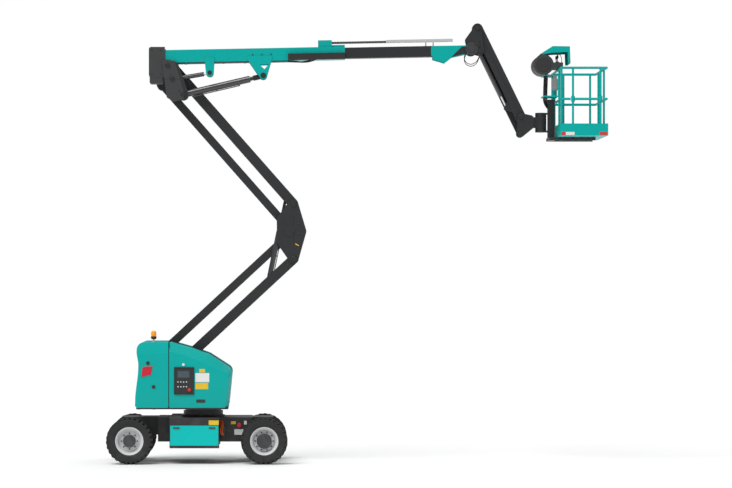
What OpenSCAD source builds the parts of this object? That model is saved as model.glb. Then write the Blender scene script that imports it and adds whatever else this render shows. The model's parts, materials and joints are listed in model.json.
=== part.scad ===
// Articulating boom lift: a four-wheeled electric machine with a slewing turntable,
// a double-parallelogram riser, a telescopic main boom, a levelled jib and a work platform.
// Machine coordinates: X forward (towards the platform), Y to the far side, Z up,
// measured from the slew axis at floor level. placed() moves the machine so that the
// origin is under the middle of its overall length.

/* [Chassis] */
// Distance of the steered axle behind the slew axis
steer_axle_x = 1160; // [1100:5:1250]
// Distance of the driven axle in front of the slew axis
drive_axle_x = 985; // [930:5:1080]
// Width over the tyres
track_outer = 1740; // [1700:5:1850]
// Height of the chassis deck above the floor
deck_z = 735; // [715:1:760]
// Height of the underside of the chassis box
chassis_belly_z = 345; // [320:1:370]
// Width of the chassis box
chassis_w = 900; // [840:5:940]
// Plate thickness of the chassis
chassis_t = 14; // [10:1:18]
// Length of each battery box
battery_l = 790; // [740:5:820]
// Height of the underside of a battery box
battery_bottom_z = 256; // [230:1:290]
// Distance a battery box stands out from the chassis side
battery_depth = 330; // [300:5:350]

/* [Wheels] */
// Outside diameter of a tyre
tyre_d = 745; // [700:5:770]
// Width of a tyre
tyre_w = 250; // [220:5:260]
// Diameter of a rim over its flanges
rim_d = 450; // [420:5:480]
// Diameter of a kingpin
kingpin_d = 44; // [36:1:50]
// Diameter of a wheel spindle
spindle_d = 70; // [60:1:80]

/* [Turntable] */
// Height of the underside of the turntable deck
turntable_z = 878; // [860:1:890]
// Length of the turntable behind the slew axis
tail_l = 1070; // [1040:5:1120]
// Length of the turntable in front of the slew axis
nose_l = 472; // [450:1:500]
// Width over the hoods
hood_outer_w = 1720; // [1680:5:1740]
// Width of the slot between the hoods that the riser folds into
riser_slot_w = 560; // [550:5:600]
// Height of the hoods
hood_h = 1044; // [1000:2:1080]
// Sheet thickness of a hood
hood_t = 8; // [6:1:12]
// Outside diameter of the slewing ring
slew_ring_d = 640; // [600:5:660]

/* [Riser] */
// Length of the lower arms between pins
lower_arm_l = 2927; // [2850:1:3000]
// Angle of the lower arms above the horizontal
lower_arm_angle = 42.8; // [40:0.1:46]
// Length of the upper arms between pins
upper_arm_l = 2927; // [2850:1:3000]
// Angle of the upper arms above the horizontal
upper_arm_angle = 48.6; // [46:0.1:51]
// Depth of the load-carrying arms
arm_depth = 160; // [140:2:170]
// Depth of the parallel links
link_depth = 130; // [110:2:140]
// Width of the load-carrying arms
arm_w = 200; // [190:2:210]
// Width of the parallel links
link_w = 90; // [80:1:96]
// Wall of the arms and links
arm_wall = 8; // [6:1:12]
// Diameter of the riser pins
riser_pin_d = 60; // [50:1:70]
// Thickness of the riser plates
riser_plate_t = 16; // [12:1:18]

/* [Main boom] */
// Length of the outer boom
outer_boom_l = 2935; // [2900:5:3050]
// Depth of the outer boom
outer_boom_h = 204; // [196:2:216]
// Width of the outer boom
outer_boom_w = 190; // [180:2:196]
// Depth of the inner boom
inner_boom_h = 174; // [166:1:178]
// Width of the inner boom
inner_boom_w = 160; // [150:1:166]
// Wall of the boom tubes
boom_wall = 8; // [6:1:10]
// Distance from the boom pivot to the jib knuckle pin
boom_reach = 4910; // [4850:5:5000]
// Angle of the main boom above the horizontal
boom_angle = 1.1; // [0:0.1:3]

/* [Jib and platform] */
// Length of the jib between pins
jib_l = 1588; // [1540:1:1640]
// Angle of the jib below the horizontal
jib_angle = 64; // [62:0.1:66]
// Depth of the jib arm
jib_depth = 168; // [150:2:176]
// Width of the jib arm
jib_w = 140; // [130:2:150]
// Length of the platform along the boom
platform_l = 765; // [720:5:800]
// Width of the platform across the boom
platform_w = 1440; // [1380:5:1500]
// Height of the top rail above the platform floor
rail_h = 1097; // [1060:1:1120]
// Diameter of the platform tubes
rail_d = 40; // [34:1:42]
// Height of the toe board
toe_h = 190; // [150:5:200]

/* [Hidden] */
$fn = 48;
facet_fn = 32;
teal = [0.0, 0.62, 0.60];
charcoal = [0.17, 0.18, 0.19];
black = [0.07, 0.07, 0.08];
silver = [0.78, 0.79, 0.80];
rubber = [0.09, 0.09, 0.10];
amber = [1.0, 0.55, 0.05];
cut = 1;            // overrun of every cut
lug_t = 12;         // plate of the boom lugs
pin_gap = 0.3;      // radial clearance of a pin in its eye
side_gap = 8;       // clearance between moving plates
seat_gap = 0.3;     // clearance of a seated piece

// Lanes across the machine: the riser runs beside the main boom
riser_y = 120;
boom_y = -115;
arm_near_y = riser_y - arm_w / 2;
arm_far_y = riser_y + arm_w / 2;
link_y = arm_far_y - link_w / 2 - side_gap / 2;
fork_plate_t = 10;
riser_cyl_y = (arm_near_y + fork_plate_t + link_y - link_w / 2) / 2;
riser_near_plate_y = arm_near_y - side_gap - riser_plate_t;
riser_far_plate_y = arm_far_y + side_gap;

// Riser pins, as [x, z]
lower_arm_foot = [-682, 1293];
lower_link_offset = [-194, 283];
upper_arm_rise = [-8, 894];
upper_link_offset = [-190, -262];
lower_dir = [cos(lower_arm_angle), sin(lower_arm_angle)];
upper_dir = [-cos(upper_arm_angle), sin(upper_arm_angle)];
lower_link_foot = lower_arm_foot + lower_link_offset;
lower_arm_head = lower_arm_foot + lower_arm_l * lower_dir;
lower_link_head = lower_arm_head + lower_link_offset;
upper_arm_foot = lower_arm_head + upper_arm_rise;
upper_link_foot = upper_arm_foot + upper_link_offset;
upper_arm_head = upper_arm_foot + upper_arm_l * upper_dir;
upper_link_head = upper_arm_head + upper_link_offset;
riser_cyl_back = 560;
riser_cyl_up = 172;
riser_cyl_foot = lower_arm_head - riser_cyl_back * lower_dir;
riser_cyl_head = upper_arm_foot + riser_cyl_up * upper_dir;

// Main boom pins
boom_pivot_offset = [-97, 25];
boom_pivot = upper_arm_head + boom_pivot_offset;
boom_dir = [cos(boom_angle), sin(boom_angle)];
boom_up = [-sin(boom_angle), cos(boom_angle)];
boom_axis_rise = 149;
boom_heel = 68;
function on_boom(along_l, up_l) = boom_pivot + along_l * boom_dir + up_l * boom_up;
lift_foot_offset = [154, -437];
lift_foot = upper_arm_head + lift_foot_offset;
lift_lug_at = [1542, -190];
lift_head = on_boom(lift_lug_at[0], lift_lug_at[1]);
level_foot_offset = [-20, -190];
level_foot = upper_arm_head + level_foot_offset;
level_lug_at = [680, -128];
level_head = on_boom(level_lug_at[0], level_lug_at[1]);
nose_pin_rise = 24;
knuckle_pin = on_boom(boom_reach, boom_axis_rise + nose_pin_rise);

// Jib pins
jib_dir = [cos(jib_angle), -sin(jib_angle)];
jib_arm_offset = [97, 332];
jib_arm_top = knuckle_pin + jib_arm_offset;
jib_link_drop = [0, -267];
jib_link_top = jib_arm_top + jib_link_drop;
jib_arm_end = jib_arm_top + jib_l * jib_dir;
jib_link_end = jib_arm_end + jib_link_drop;
jib_cyl_offset = [40, -372];
jib_cyl_foot = jib_arm_top + jib_cyl_offset;
jib_cyl_along = 1360;
jib_cyl_off = 128;
jib_cyl_head = jib_arm_top + jib_cyl_along * jib_dir + jib_cyl_off * [-sin(jib_angle), -cos(jib_angle)];

// Platform places
rotator_reach = 330;
rotator_drop = 88;
platform_reach = 236;
floor_drop = 333;
rotator_x = jib_arm_end[0] + rotator_reach;
rotator_z = jib_arm_end[1] - rotator_drop;
platform_rear_x = rotator_x + platform_reach;
floor_z = jib_arm_end[1] - floor_drop;

// Overall length, for the origin
rear_x = -steer_axle_x - tyre_d / 2;
front_x = platform_rear_x + platform_l;
frame_shift = -(rear_x + front_x) / 2;

// Placing helpers
module placed() translate([frame_shift, 0, 0]) children();
module at(p, y = 0) translate([p[0], y, p[1]]) children();
module along(p, q, y = 0) at(p, y) rotate([0, -atan2(q[1] - p[1], q[0] - p[0]), 0]) children();
module plate(y, t) translate([0, y + t, 0]) rotate([90, 0, 0]) linear_extrude(t) children();
module cross_pin(p, y, l, d) translate([p[0], y, p[1]]) rotate([-90, 0, 0]) cylinder(d = d, h = l);
module turned_y() rotate([-90, 0, 0]) rotate_extrude() children();
module far_side() mirror([0, 1, 0]) children();

// Rounded outlines: circles joined by their outer tangents, in anticlockwise order
function tangent(p, q, r, s) =
    let (d = q - p, turn = atan2(d[1], d[0]) - acos((r - s) / norm(d)))
    [p + r * [cos(turn), sin(turn)], q + s * [cos(turn), sin(turn)]];
module rounded(points, radii) {
    n = len(points);
    polygon([for (i = [0:n - 1]) each tangent(points[i], points[(i + 1) % n], radii[i],
        radii[(i + 1) % n])]);
    for (i = [0:n - 1]) translate(points[i]) circle(r = radii[i]);
}

// Box tube along X, centred across
module box_tube(l, w, h, t) difference() {
    translate([0, -w / 2, -h / 2]) cube([l, w, h]);
    translate([-cut, -w / 2 + t, -h / 2 + t]) cube([l + 2 * cut, w - 2 * t, h - 2 * t]);
}

// Chassis
neck_w = 560;
neck_end = 150;
steer_clear = 440;
drive_clear = 190;
seat_rim = 60;
neck_rear_x = -steer_axle_x - neck_end;
box_rear_x = -steer_axle_x + steer_clear;
box_front_x = drive_axle_x - drive_clear;
tongue_front_x = drive_axle_x + neck_end;
slew_seat_h = 26;
slew_seat_d = slew_ring_d + seat_rim;
lashing_bore = 50;
lashing_t = 25;
lashing_r = 48;
lashing_drop = 160;
lashing_z = deck_z - lashing_drop;
lashing_y = neck_w / 2 - lashing_r;
ring_width = 100;
deck_hole_d = slew_ring_d - 2 * ring_width;
module chassis_frame() color(charcoal) {
    difference() {
        translate([box_rear_x, -chassis_w / 2, chassis_belly_z])
            cube([box_front_x - box_rear_x, chassis_w, deck_z - chassis_belly_z]);
        translate([box_rear_x - cut, -chassis_w / 2 + chassis_t, chassis_belly_z + chassis_t])
            cube([box_front_x - box_rear_x + 2 * cut, chassis_w - 2 * chassis_t,
                deck_z - chassis_belly_z - 2 * chassis_t]);
        translate([0, 0, deck_z - chassis_t - cut]) cylinder(d = deck_hole_d, h = chassis_t + 2 * cut);
    }
    neck(neck_rear_x, box_rear_x);
    neck(box_front_x, tongue_front_x);
    difference() {
        translate([0, 0, deck_z]) cylinder(d = slew_seat_d, h = slew_seat_h);
        translate([0, 0, deck_z - cut]) cylinder(d = deck_hole_d, h = slew_seat_h + 2 * cut);
    }
    for (end = [[neck_rear_x, -1], [tongue_front_x, 1]], side = [-1, 1])
        lashing_eye(end[0], end[1], side * lashing_y);
}
module neck(x0, x1) difference() {
    translate([x0, -neck_w / 2, axle_top_z]) cube([x1 - x0, neck_w, deck_z - axle_top_z]);
    translate([x0 + chassis_t, -neck_w / 2 + chassis_t, axle_top_z - cut])
        cube([x1 - x0 - 2 * chassis_t, neck_w - 2 * chassis_t, deck_z - axle_top_z - chassis_t + cut]);
}
module lashing_eye(x, dir, y) difference() {
    translate([0, 0, lashing_z - lashing_t / 2]) linear_extrude(lashing_t)
        rounded([[x - lashing_r, y], [x + lashing_r, y]], [lashing_r, lashing_r]);
    translate([x + dir * lashing_r, y, lashing_z - lashing_t]) cylinder(d = lashing_bore, h = 2 * lashing_t);
}

// Axles
axle_z = tyre_d / 2;
axle_h = 150;
axle_w = 180;
axle_top_z = axle_z + axle_h / 2;
wheel_mid_y = track_outer / 2 - tyre_w / 2;
kingpin_inset = 190;
spindle_over = 40;
kingpin_y = wheel_mid_y - kingpin_inset;
fist_r = 46;
fist_h = 96;
fist_neck_w = 76;
fist_neck_h = 84;
module steer_axle() color(charcoal) translate([-steer_axle_x, 0, axle_z]) difference() {
    union() {
        translate([-axle_w / 2, -kingpin_y + fist_r + side_gap, -axle_h / 2])
            cube([axle_w, 2 * (kingpin_y - fist_r - side_gap), axle_h]);
        for (side = [-1, 1]) {
            translate([0, side * kingpin_y, -fist_h / 2]) cylinder(r = fist_r, h = fist_h);
            translate([-fist_neck_w / 2, side > 0 ? kingpin_y - fist_r - 2 * side_gap : -kingpin_y,
                -fist_neck_h / 2])
                cube([fist_neck_w, fist_r + 2 * side_gap, fist_neck_h]);
        }
        steer_ram();
    }
    for (side = [-1, 1]) translate([0, side * kingpin_y, -fist_h])
        cylinder(d = kingpin_d + 2 * pin_gap, h = 2 * fist_h);
}
steer_ram_d = 80;
steer_ram_l = 420;
steer_ram_rod_d = 40;
steer_ram_rod_l = 720;
steer_ram_gap = 12;
steer_ram_lug_h = 60;
module steer_ram() translate([axle_w / 2 + steer_ram_d / 2 + steer_ram_gap, 0, 0]) {
    translate([0, -steer_ram_l / 2, 0]) rotate([-90, 0, 0]) cylinder(d = steer_ram_d, h = steer_ram_l);
    translate([0, -steer_ram_rod_l / 2, 0]) rotate([-90, 0, 0])
        cylinder(d = steer_ram_rod_d, h = steer_ram_rod_l);
    for (side = [-1, 1])
        translate([-steer_ram_d / 2 - 2 * steer_ram_gap, side * steer_ram_l / 4 - chassis_t / 2,
            -steer_ram_lug_h / 2])
            cube([steer_ram_d / 2 + 2 * steer_ram_gap, chassis_t, steer_ram_lug_h]);
}

// Steered knuckle: a fork round the axle end, a kingpin and a spindle
fork_t = 26;
fork_gap = 1;
knuckle_y = fist_r + side_gap;
spindle_l = kingpin_inset + spindle_over;
module steer_knuckle_near() color(black) translate([-steer_axle_x, -kingpin_y, axle_z]) {
    translate([0, 0, -fist_h / 2 - fork_gap - fork_t])
        cylinder(d = kingpin_d, h = fist_h + 2 * (fork_gap + fork_t));
    for (z = [-fist_h / 2 - fork_gap - fork_t, fist_h / 2 + fork_gap]) {
        translate([0, 0, z]) cylinder(r = fist_r, h = fork_t);
        translate([-fist_r, -knuckle_y - fork_t, z]) cube([2 * fist_r, knuckle_y + fork_t, fork_t]);
    }
    translate([-fist_r, -knuckle_y - fork_t, -fist_h / 2 - fork_gap - fork_t])
        cube([2 * fist_r, fork_t, fist_h + 2 * (fork_gap + fork_t)]);
    rotate([90, 0, 0]) translate([0, 0, knuckle_y]) cylinder(d = spindle_d, h = spindle_l - knuckle_y);
}
module steer_knuckle_far() far_side() steer_knuckle_near();

// Driven axle: a beam with a final drive at each end
final_drive_d = 230;
final_drive_l = 90;
final_drive_in_y = wheel_mid_y - tyre_w / 2 - final_drive_l;
module drive_axle() color(charcoal) translate([drive_axle_x, 0, axle_z]) {
    translate([-axle_w / 2, -final_drive_in_y, -axle_h / 2]) cube([axle_w, 2 * final_drive_in_y, axle_h]);
    for (side = [-1, 1]) rotate([side * 90, 0, 0]) {
        translate([0, 0, final_drive_in_y])
            cylinder(d = final_drive_d, h = wheel_mid_y - final_drive_in_y - disc_t - side_gap);
        cylinder(d = spindle_d, h = wheel_mid_y + spindle_over);
    }
}

// Wheel, with its outer side at the near side of the machine
rim_wall = 12;
rim_bead_d = 385;
rim_inset = 20;
rim_half_w = tyre_w / 2 - rim_inset;
disc_t = 16;
disc_in = -10;
disc_d = rim_bead_d - 2 * rim_wall;
hub_steer_d = 200;
hub_drive_d = 240;
hub_out = 96;
hub_bolts = 8;
bolt_d = 24;
bolt_h = 22;
module rim(hub_d) {
    bore_r = spindle_d / 2 + pin_gap;
    color(silver) turned_y() {
        polygon([[rim_d / 2, -rim_half_w], [rim_d / 2, -rim_half_w + rim_wall],
            [rim_bead_d / 2, -rim_half_w + 2 * rim_wall],
            [rim_bead_d / 2, rim_half_w - 2 * rim_wall], [rim_d / 2, rim_half_w - rim_wall],
                [rim_d / 2, rim_half_w],
            [rim_d / 2 - rim_wall, rim_half_w], [disc_d / 2, rim_half_w - 3 * rim_wall],
            [disc_d / 2, -rim_half_w + 3 * rim_wall], [rim_d / 2 - rim_wall, -rim_half_w]]);
        translate([bore_r, -disc_t / 2 + disc_in]) square([disc_d / 2 + rim_wall / 2 - bore_r, disc_t]);
    }
    color(black) turned_y() polygon([[bore_r, disc_in], [bore_r, disc_in - hub_out / 2],
        [0, disc_in - hub_out / 2],
        [0, disc_in - hub_out], [hub_d / 2 - rim_wall, disc_in - hub_out],
            [hub_d / 2, disc_in - hub_out + rim_wall], [hub_d / 2, disc_in]]);
    for (i = [0:hub_bolts - 1]) rotate([0, 360 / hub_bolts * i, 0])
        translate([hub_d / 2 + bolt_d, disc_in - disc_t / 2 + cut, 0]) rotate([90, 0, 0])
            cylinder(d = bolt_d, h = bolt_h, $fn = 6);
}
module tyre() color(rubber) turned_y() polygon([
    [rim_bead_d / 2 + seat_gap, -rim_half_w + 2 * rim_wall + seat_gap],
        [rim_d / 2 + seat_gap, -rim_half_w + rim_wall + seat_gap],
    [rim_d / 2 + seat_gap, -rim_half_w], [rim_d / 2 + bead_step, -tyre_w / 2],
        [tyre_d / 2 - shoulder, -tyre_w / 2],
    [tyre_d / 2, -tyre_w / 2 + shoulder], [tyre_d / 2, tyre_w / 2 - shoulder],
        [tyre_d / 2 - shoulder, tyre_w / 2],
    [rim_d / 2 + bead_step, tyre_w / 2], [rim_d / 2 + seat_gap, rim_half_w],
        [rim_d / 2 + seat_gap, rim_half_w - rim_wall - seat_gap],
    [rim_bead_d / 2 + seat_gap, rim_half_w - 2 * rim_wall - seat_gap]]);
bead_step = 18;
shoulder = 26;
module at_wheel(x) translate([x, -wheel_mid_y, axle_z]) children();
module rim_steer_near() at_wheel(-steer_axle_x) rim(hub_steer_d);
module rim_drive_near() at_wheel(drive_axle_x) rim(hub_drive_d);
module tyre_steer_near() at_wheel(-steer_axle_x) tyre();
module tyre_drive_near() at_wheel(drive_axle_x) tyre();
module rim_steer_far() far_side() rim_steer_near();
module rim_drive_far() far_side() rim_drive_near();
module tyre_steer_far() far_side() tyre_steer_near();
module tyre_drive_far() far_side() tyre_drive_near();

// Battery boxes on the chassis sides
battery_x = -524;
battery_rise = 10;
battery_top_z = deck_z + battery_rise;
battery_lid_z = 620;
battery_sill_h = 36;
battery_inset = 8;
module battery_box_near() {
    y = -chassis_w / 2 - battery_depth;
    color(charcoal) translate([battery_x, y + battery_inset, battery_bottom_z])
        cube([battery_l, battery_depth - battery_inset, battery_top_z - battery_bottom_z]);
    color(teal) translate([battery_x + battery_inset, y, battery_bottom_z + battery_sill_h])
        cube([battery_l - 2 * battery_inset, battery_inset,
            battery_lid_z - battery_bottom_z - battery_sill_h]);
}
module battery_box_far() far_side() battery_box_near();

// Slewing ring, bolted to the deck
ring_h = 70;
module slew_ring() color(black) difference() {
    translate([0, 0, deck_z + slew_seat_h]) cylinder(d = slew_ring_d, h = ring_h);
    translate([0, 0, deck_z + slew_seat_h - cut]) cylinder(d = deck_hole_d, h = ring_h + 2 * cut);
}

// Turntable: a base drum on the ring, a deck and the two tower plates that carry the riser
drum_z = deck_z + slew_seat_h + ring_h + seat_gap;
deck_t = 24;
deck_inset = 60;
deck_half_w = hood_outer_w / 2 - deck_inset;
tower_boss_r = 85;
tower_foot_l = 520;
tower_rear_x = lower_link_foot[0];
tower_front_x = lower_arm_foot[0] + tower_foot_l;
tower_foot_z = turntable_z + deck_t / 2;
tower_foot_r = deck_t / 4;
module tower_outline() rounded([
    [tower_rear_x - tower_boss_r / 2, tower_foot_z],
    [tower_front_x, tower_foot_z],
    lower_link_foot,
], [tower_foot_r, tower_foot_r, tower_boss_r]);
module turntable_frame() color(charcoal) {
    translate([0, 0, drum_z]) cylinder(d = slew_ring_d - seat_rim, h = turntable_z - drum_z + deck_t / 2);
    translate([-tail_l + hood_t * 2, -deck_half_w, turntable_z])
        cube([tail_l + nose_l - deck_inset - hood_t * 2, 2 * deck_half_w, deck_t]);
    for (y = [riser_near_plate_y, riser_far_plate_y]) plate(y, riser_plate_t) tower_outline();
    for (p = [lower_arm_foot, lower_link_foot])
        cross_pin(p, riser_near_plate_y - side_gap, arm_w + 2 * (2 * side_gap + riser_plate_t),
            riser_pin_d);
}

// Tail cover: a sheet shell across the tail, slotted for the riser and open towards the hoods
hood_lift = 0.4;
hood_z = turntable_z + deck_t + hood_lift;
hood_top_z = hood_z + hood_h;
seam_x = -540;
seam_gap = 14;
seam_r = 12;
tail_low_r = 40;
tail_top_r = 120;
tail_lean = 26;
slot_floor_h = 180;
side_w = (hood_outer_w - riser_slot_w) / 2;
module tail_outline(t) rounded([[-tail_l + tail_low_r, hood_z + tail_low_r],
    [seam_x - seam_r, hood_z + seam_r],
    [seam_x - seam_r, hood_top_z - seam_r], [-tail_l + tail_lean + tail_top_r, hood_top_z - tail_top_r]],
    [tail_low_r - t, seam_r - t, seam_r - t, tail_top_r - t]);
module tail_cover() color(teal) difference() {
    plate(-hood_outer_w / 2, hood_outer_w) tail_outline(0);
    for (y = [-hood_outer_w / 2 + hood_t, riser_slot_w / 2 + hood_t]) {
        plate(y, side_w - 2 * hood_t) tail_outline(hood_t);
        translate([seam_x - 2 * hood_t, y, hood_z - cut])
            cube([3 * hood_t, side_w - 2 * hood_t, hood_h - hood_t]);
        translate([-tail_l + tail_low_r, y, hood_z - cut])
            cube([tail_l + seam_x, side_w - 2 * hood_t, tail_low_r]);
    }
    translate([-tail_l - cut, -riser_slot_w / 2, hood_z + slot_floor_h])
        cube([tail_l, riser_slot_w, hood_h]);
    translate([-tail_l + tail_low_r, -riser_slot_w / 2, hood_z - cut])
        cube([tail_l, riser_slot_w, hood_h]);
}

// Counterweight: cast blocks under the tail cover, one on each side of the riser
weight_h = 560;
weight_gap = 20;
weight_l = tail_l + seam_x - tail_low_r - weight_gap;
module counterweight() color(charcoal) translate([-tail_l + tail_low_r + weight_gap / 2, 0,
    turntable_z + deck_t]) {
    for (y = [-hood_outer_w / 2 + weight_gap, riser_slot_w / 2 + weight_gap])
        translate([0, y, 0]) cube([weight_l, side_w - 2 * weight_gap, weight_h]);
}

// Hoods: hollow sheet covers beside the riser slot, hinged along their tails
hood_bevel = 110;
bevel_drop = 150;
bevel_back = 50;
nose_r = 120;
nose_in = 50;
nose_drop = 496;
crest_r = 100;
crest_a = [353, -96];
crest_b = [600, -184];
module hood_outline(t, drop, back) rounded([[seam_x + seam_gap + seam_r, hood_z + seam_r],
    [nose_l - nose_in - tail_low_r - back, hood_z + tail_low_r],
        [nose_l - nose_r - back, hood_top_z - nose_drop - drop / 2],
    [seam_x + crest_b[0] - back, hood_top_z + crest_b[1] - crest_r - drop * bevel_share],
    [seam_x + crest_a[0], hood_top_z + crest_a[1] - crest_r - drop],
        [seam_x + seam_gap + seam_r, hood_top_z - seam_r - drop]],
    [seam_r - t, tail_low_r - t, nose_r - t, crest_r - t, crest_r - t, seam_r - t]);
bevel_share = 0.8;
module hood_solid(t) hull() {
    plate(-hood_outer_w / 2 + t, hood_t) hood_outline(t, bevel_drop, bevel_back);
    plate(-hood_outer_w / 2 + hood_bevel, side_w - hood_bevel + (t > 0 ? cut : 0)) hood_outline(t, 0, 0);
}
module hood_near() color(teal) difference() {
    hood_solid(0);
    hood_solid(hood_t);
}
module hood_far() far_side() hood_near();

// Ground control panel on the near hood
panel_w = 290;
panel_h = 395;
panel_t = 10;
panel_x = -440;
panel_z = 1125;
module control_panel() color(black) translate([panel_x, -hood_outer_w / 2 - panel_t, panel_z])
    cube([panel_w, panel_t - seat_gap, panel_h]);

// Amber beacon on the tail
beacon_d = 84;
beacon_base_h = 50;
beacon_h = 180;
beacon_x = -779;
beacon_inset = 200;
beacon_y = -hood_outer_w / 2 + beacon_inset;
module beacon() translate([beacon_x, beacon_y, hood_top_z + seat_gap]) {
    color(black) cylinder(d = beacon_d + 2 * seam_r, h = beacon_base_h);
    color(amber) cylinder(d = beacon_d, h = beacon_h);
}

// Riser arms: box tubes with eyes at the foot and forked ends at the knuckle
eye_r = 80;
fork_l = 760;
module eye(p, w) cross_pin(p, -w / 2, w, 2 * eye_r);
module arm(foot, head, fork_at_head) along(foot, head, riser_y) {
    l = norm(head - foot);
    box_from = fork_at_head ? 0 : fork_l;
    difference() {
        union() {
            translate([box_from, 0, 0]) box_tube(l - fork_l, arm_w, arm_depth, arm_wall);
            eye([fork_at_head ? 0 : l, 0], arm_w);
            for (side = [-1, 1]) plate(side * (arm_w - fork_plate_t) / 2 - fork_plate_t / 2, fork_plate_t)
                rounded(fork_at_head ? [[l - fork_l - eye_r, 0], [l, 0]] :
                    [[fork_l + eye_r, 0], [0, 0]], [eye_r, eye_r]);
        }
        for (x = [0, l]) cross_pin([x, 0], -arm_w, 2 * arm_w, riser_pin_d + 2 * pin_gap);
    }
}
module lower_arm() color(charcoal) {
    arm(lower_arm_foot, lower_arm_head, true);
    cross_pin(riser_cyl_foot, arm_near_y, arm_w, cyl_pin_d);
}
module upper_arm() color(charcoal) arm(upper_arm_foot, upper_arm_head, false);
module link(foot, head) along(foot, head, link_y) {
    l = norm(head - foot);
    difference() {
        union() {
            box_tube(l, link_w, link_depth, arm_wall);
            for (x = [0, l]) eye([x, 0], link_w);
        }
        for (x = [0, l]) cross_pin([x, 0], -link_w, 2 * link_w, riser_pin_d + 2 * pin_gap);
    }
}
module lower_link() color(charcoal) link(lower_link_foot, lower_link_head);
module upper_link() color(charcoal) link(upper_link_foot, upper_link_head);

// Riser knuckle: two bowed plates with four pins
knuckle_r = 78;
bow = 130;
module knuckle_outline() {
    mid = (lower_arm_head + upper_arm_foot) / 2;
    difference() {
        rounded([lower_link_head, lower_arm_head, mid + [bow, 0], upper_arm_foot, upper_link_foot],
            [knuckle_r, knuckle_r, knuckle_r, knuckle_r, knuckle_r]);
        translate(mid - [bow / 2, 0]) circle(r = knuckle_r);
    }
}
module riser_knuckle() color(charcoal) {
    for (y = [riser_near_plate_y, riser_far_plate_y]) plate(y, riser_plate_t) knuckle_outline();
    for (p = [lower_arm_head, upper_arm_foot])
        cross_pin(p, riser_near_plate_y - side_gap, arm_w + 2 * (2 * side_gap + riser_plate_t),
            riser_pin_d);
    link_pin_y = link_y - (link_w + side_gap) / 2;
    for (p = [lower_link_head, upper_link_foot])
        cross_pin(p, link_pin_y, riser_far_plate_y + riser_plate_t + side_gap - link_pin_y, riser_pin_d);
}

// Riser head: near, middle and far plates for the upper arms, the boom and its cylinders
head_r = 90;
boom_lane = outer_boom_w + 2 * lug_t + 2 * side_gap;
head_near_y = boom_y - boom_lane / 2 - riser_plate_t;
head_mid_y = riser_near_plate_y;
module head_outline(points) rounded(points, [for (p = points) head_r]);
module riser_head() color(charcoal) {
    plate(head_near_y, riser_plate_t) head_outline([boom_pivot, level_foot, lift_foot, upper_arm_head]);
    plate(head_mid_y, riser_plate_t) head_outline([boom_pivot, upper_link_head, lift_foot,
        upper_arm_head]);
    plate(riser_far_plate_y, riser_plate_t) head_outline([upper_link_head, upper_arm_head]);
    for (p = [upper_arm_head, upper_link_head])
        cross_pin(p, riser_near_plate_y, arm_w + 2 * (side_gap + riser_plate_t), riser_pin_d);
    for (p = [boom_pivot, level_foot, lift_foot])
        cross_pin(p, head_near_y - side_gap, head_mid_y - head_near_y + side_gap + riser_plate_t,
            cyl_pin_d);
}

// Cover behind the head: a sheet box between the outer plates, open at its front and top for the boom
cover_back = 300;
cover_rise = 300;
cover_front = 40;
cover_drop = 190;
cover_t = 6;
cover_r = 40;
cover_y = head_near_y + riser_plate_t + seat_gap;
cover_w = riser_far_plate_y - seat_gap - cover_y;
module cover_outline(t) translate(boom_pivot) rounded([[-cover_back + cover_r, -cover_drop + cover_r],
    [-cover_front, -cover_drop + cover_r], [-cover_front, cover_rise - cover_r],
        [-cover_back + cover_r, cover_rise - cover_r]],
    [cover_r - t, cover_r - t, cover_r - t, cover_r - t]);
module head_cover() color(charcoal) difference() {
    plate(cover_y, cover_w) cover_outline(0);
    plate(cover_y + cover_t, cover_w - 2 * cover_t) cover_outline(cover_t);
    at(boom_pivot) translate([-cover_front, cover_y - cut, -cover_back])
        cube([cover_back, cover_w + 2 * cut, 3 * cover_back]);
    at(boom_pivot) translate([-cover_back + cover_r, head_mid_y - side_gap, -cover_drop - cut])
        cube([cover_back, riser_plate_t + 2 * side_gap, cover_r]);
    at(boom_pivot) translate([-2 * cover_back, cover_y + cover_t, cover_rise - cover_r])
        cube([2 * cover_back, cover_w - 2 * cover_t, 2 * cover_r]);
}

// Hydraulic cylinders: a barrel on its foot pin and a rod that slides in it
cyl_pin_d = 50;
module barrel(foot, head, y, l, d, rod_d, eye_w) along(foot, head, y) difference() {
    union() {
        cross_pin([0, 0], -eye_w / 2, eye_w, cyl_pin_d * 2);
        rotate([0, 90, 0]) cylinder(d = d, h = l);
    }
    cross_pin([0, 0], -eye_w, 2 * eye_w, cyl_pin_d + 2 * pin_gap);
    translate([cyl_pin_d + cut, 0, 0]) rotate([0, 90, 0]) cylinder(d = rod_d + 2 * pin_gap, h = l);
}
module rod(foot, head, y, from, d, eye_w, eye_d) along(foot, head, y) {
    l = norm(head - foot);
    translate([from, 0, 0]) rotate([0, 90, 0]) cylinder(d = d, h = l - from);
    cross_pin([l, 0], -eye_w / 2, eye_w, eye_d);
}
riser_barrel_d = 84;
riser_rod_d = 50;
riser_barrel_l = 850;
riser_rod_from = 480;
module riser_cylinder() color(charcoal) barrel(riser_cyl_foot, riser_cyl_head, riser_cyl_y,
    riser_barrel_l, riser_barrel_d, riser_rod_d, riser_barrel_d);
module riser_rod() color(silver) rod(riser_cyl_foot, riser_cyl_head, riser_cyl_y, riser_rod_from,
    riser_rod_d, riser_barrel_d, 2 * cyl_pin_d);
lift_barrel_d = 110;
lift_rod_d = 64;
lift_barrel_l = 1110;
lift_rod_from = 240;
module lift_cylinder() color(black) barrel(lift_foot, lift_head, boom_y, lift_barrel_l, lift_barrel_d,
    lift_rod_d, lift_barrel_d);
module lift_rod() color(silver) rod(lift_foot, lift_head, boom_y, lift_rod_from, lift_rod_d,
    lift_barrel_d, 2 * cyl_pin_d);
level_barrel_d = 72;
level_rod_d = 40;
level_barrel_l = 520;
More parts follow.
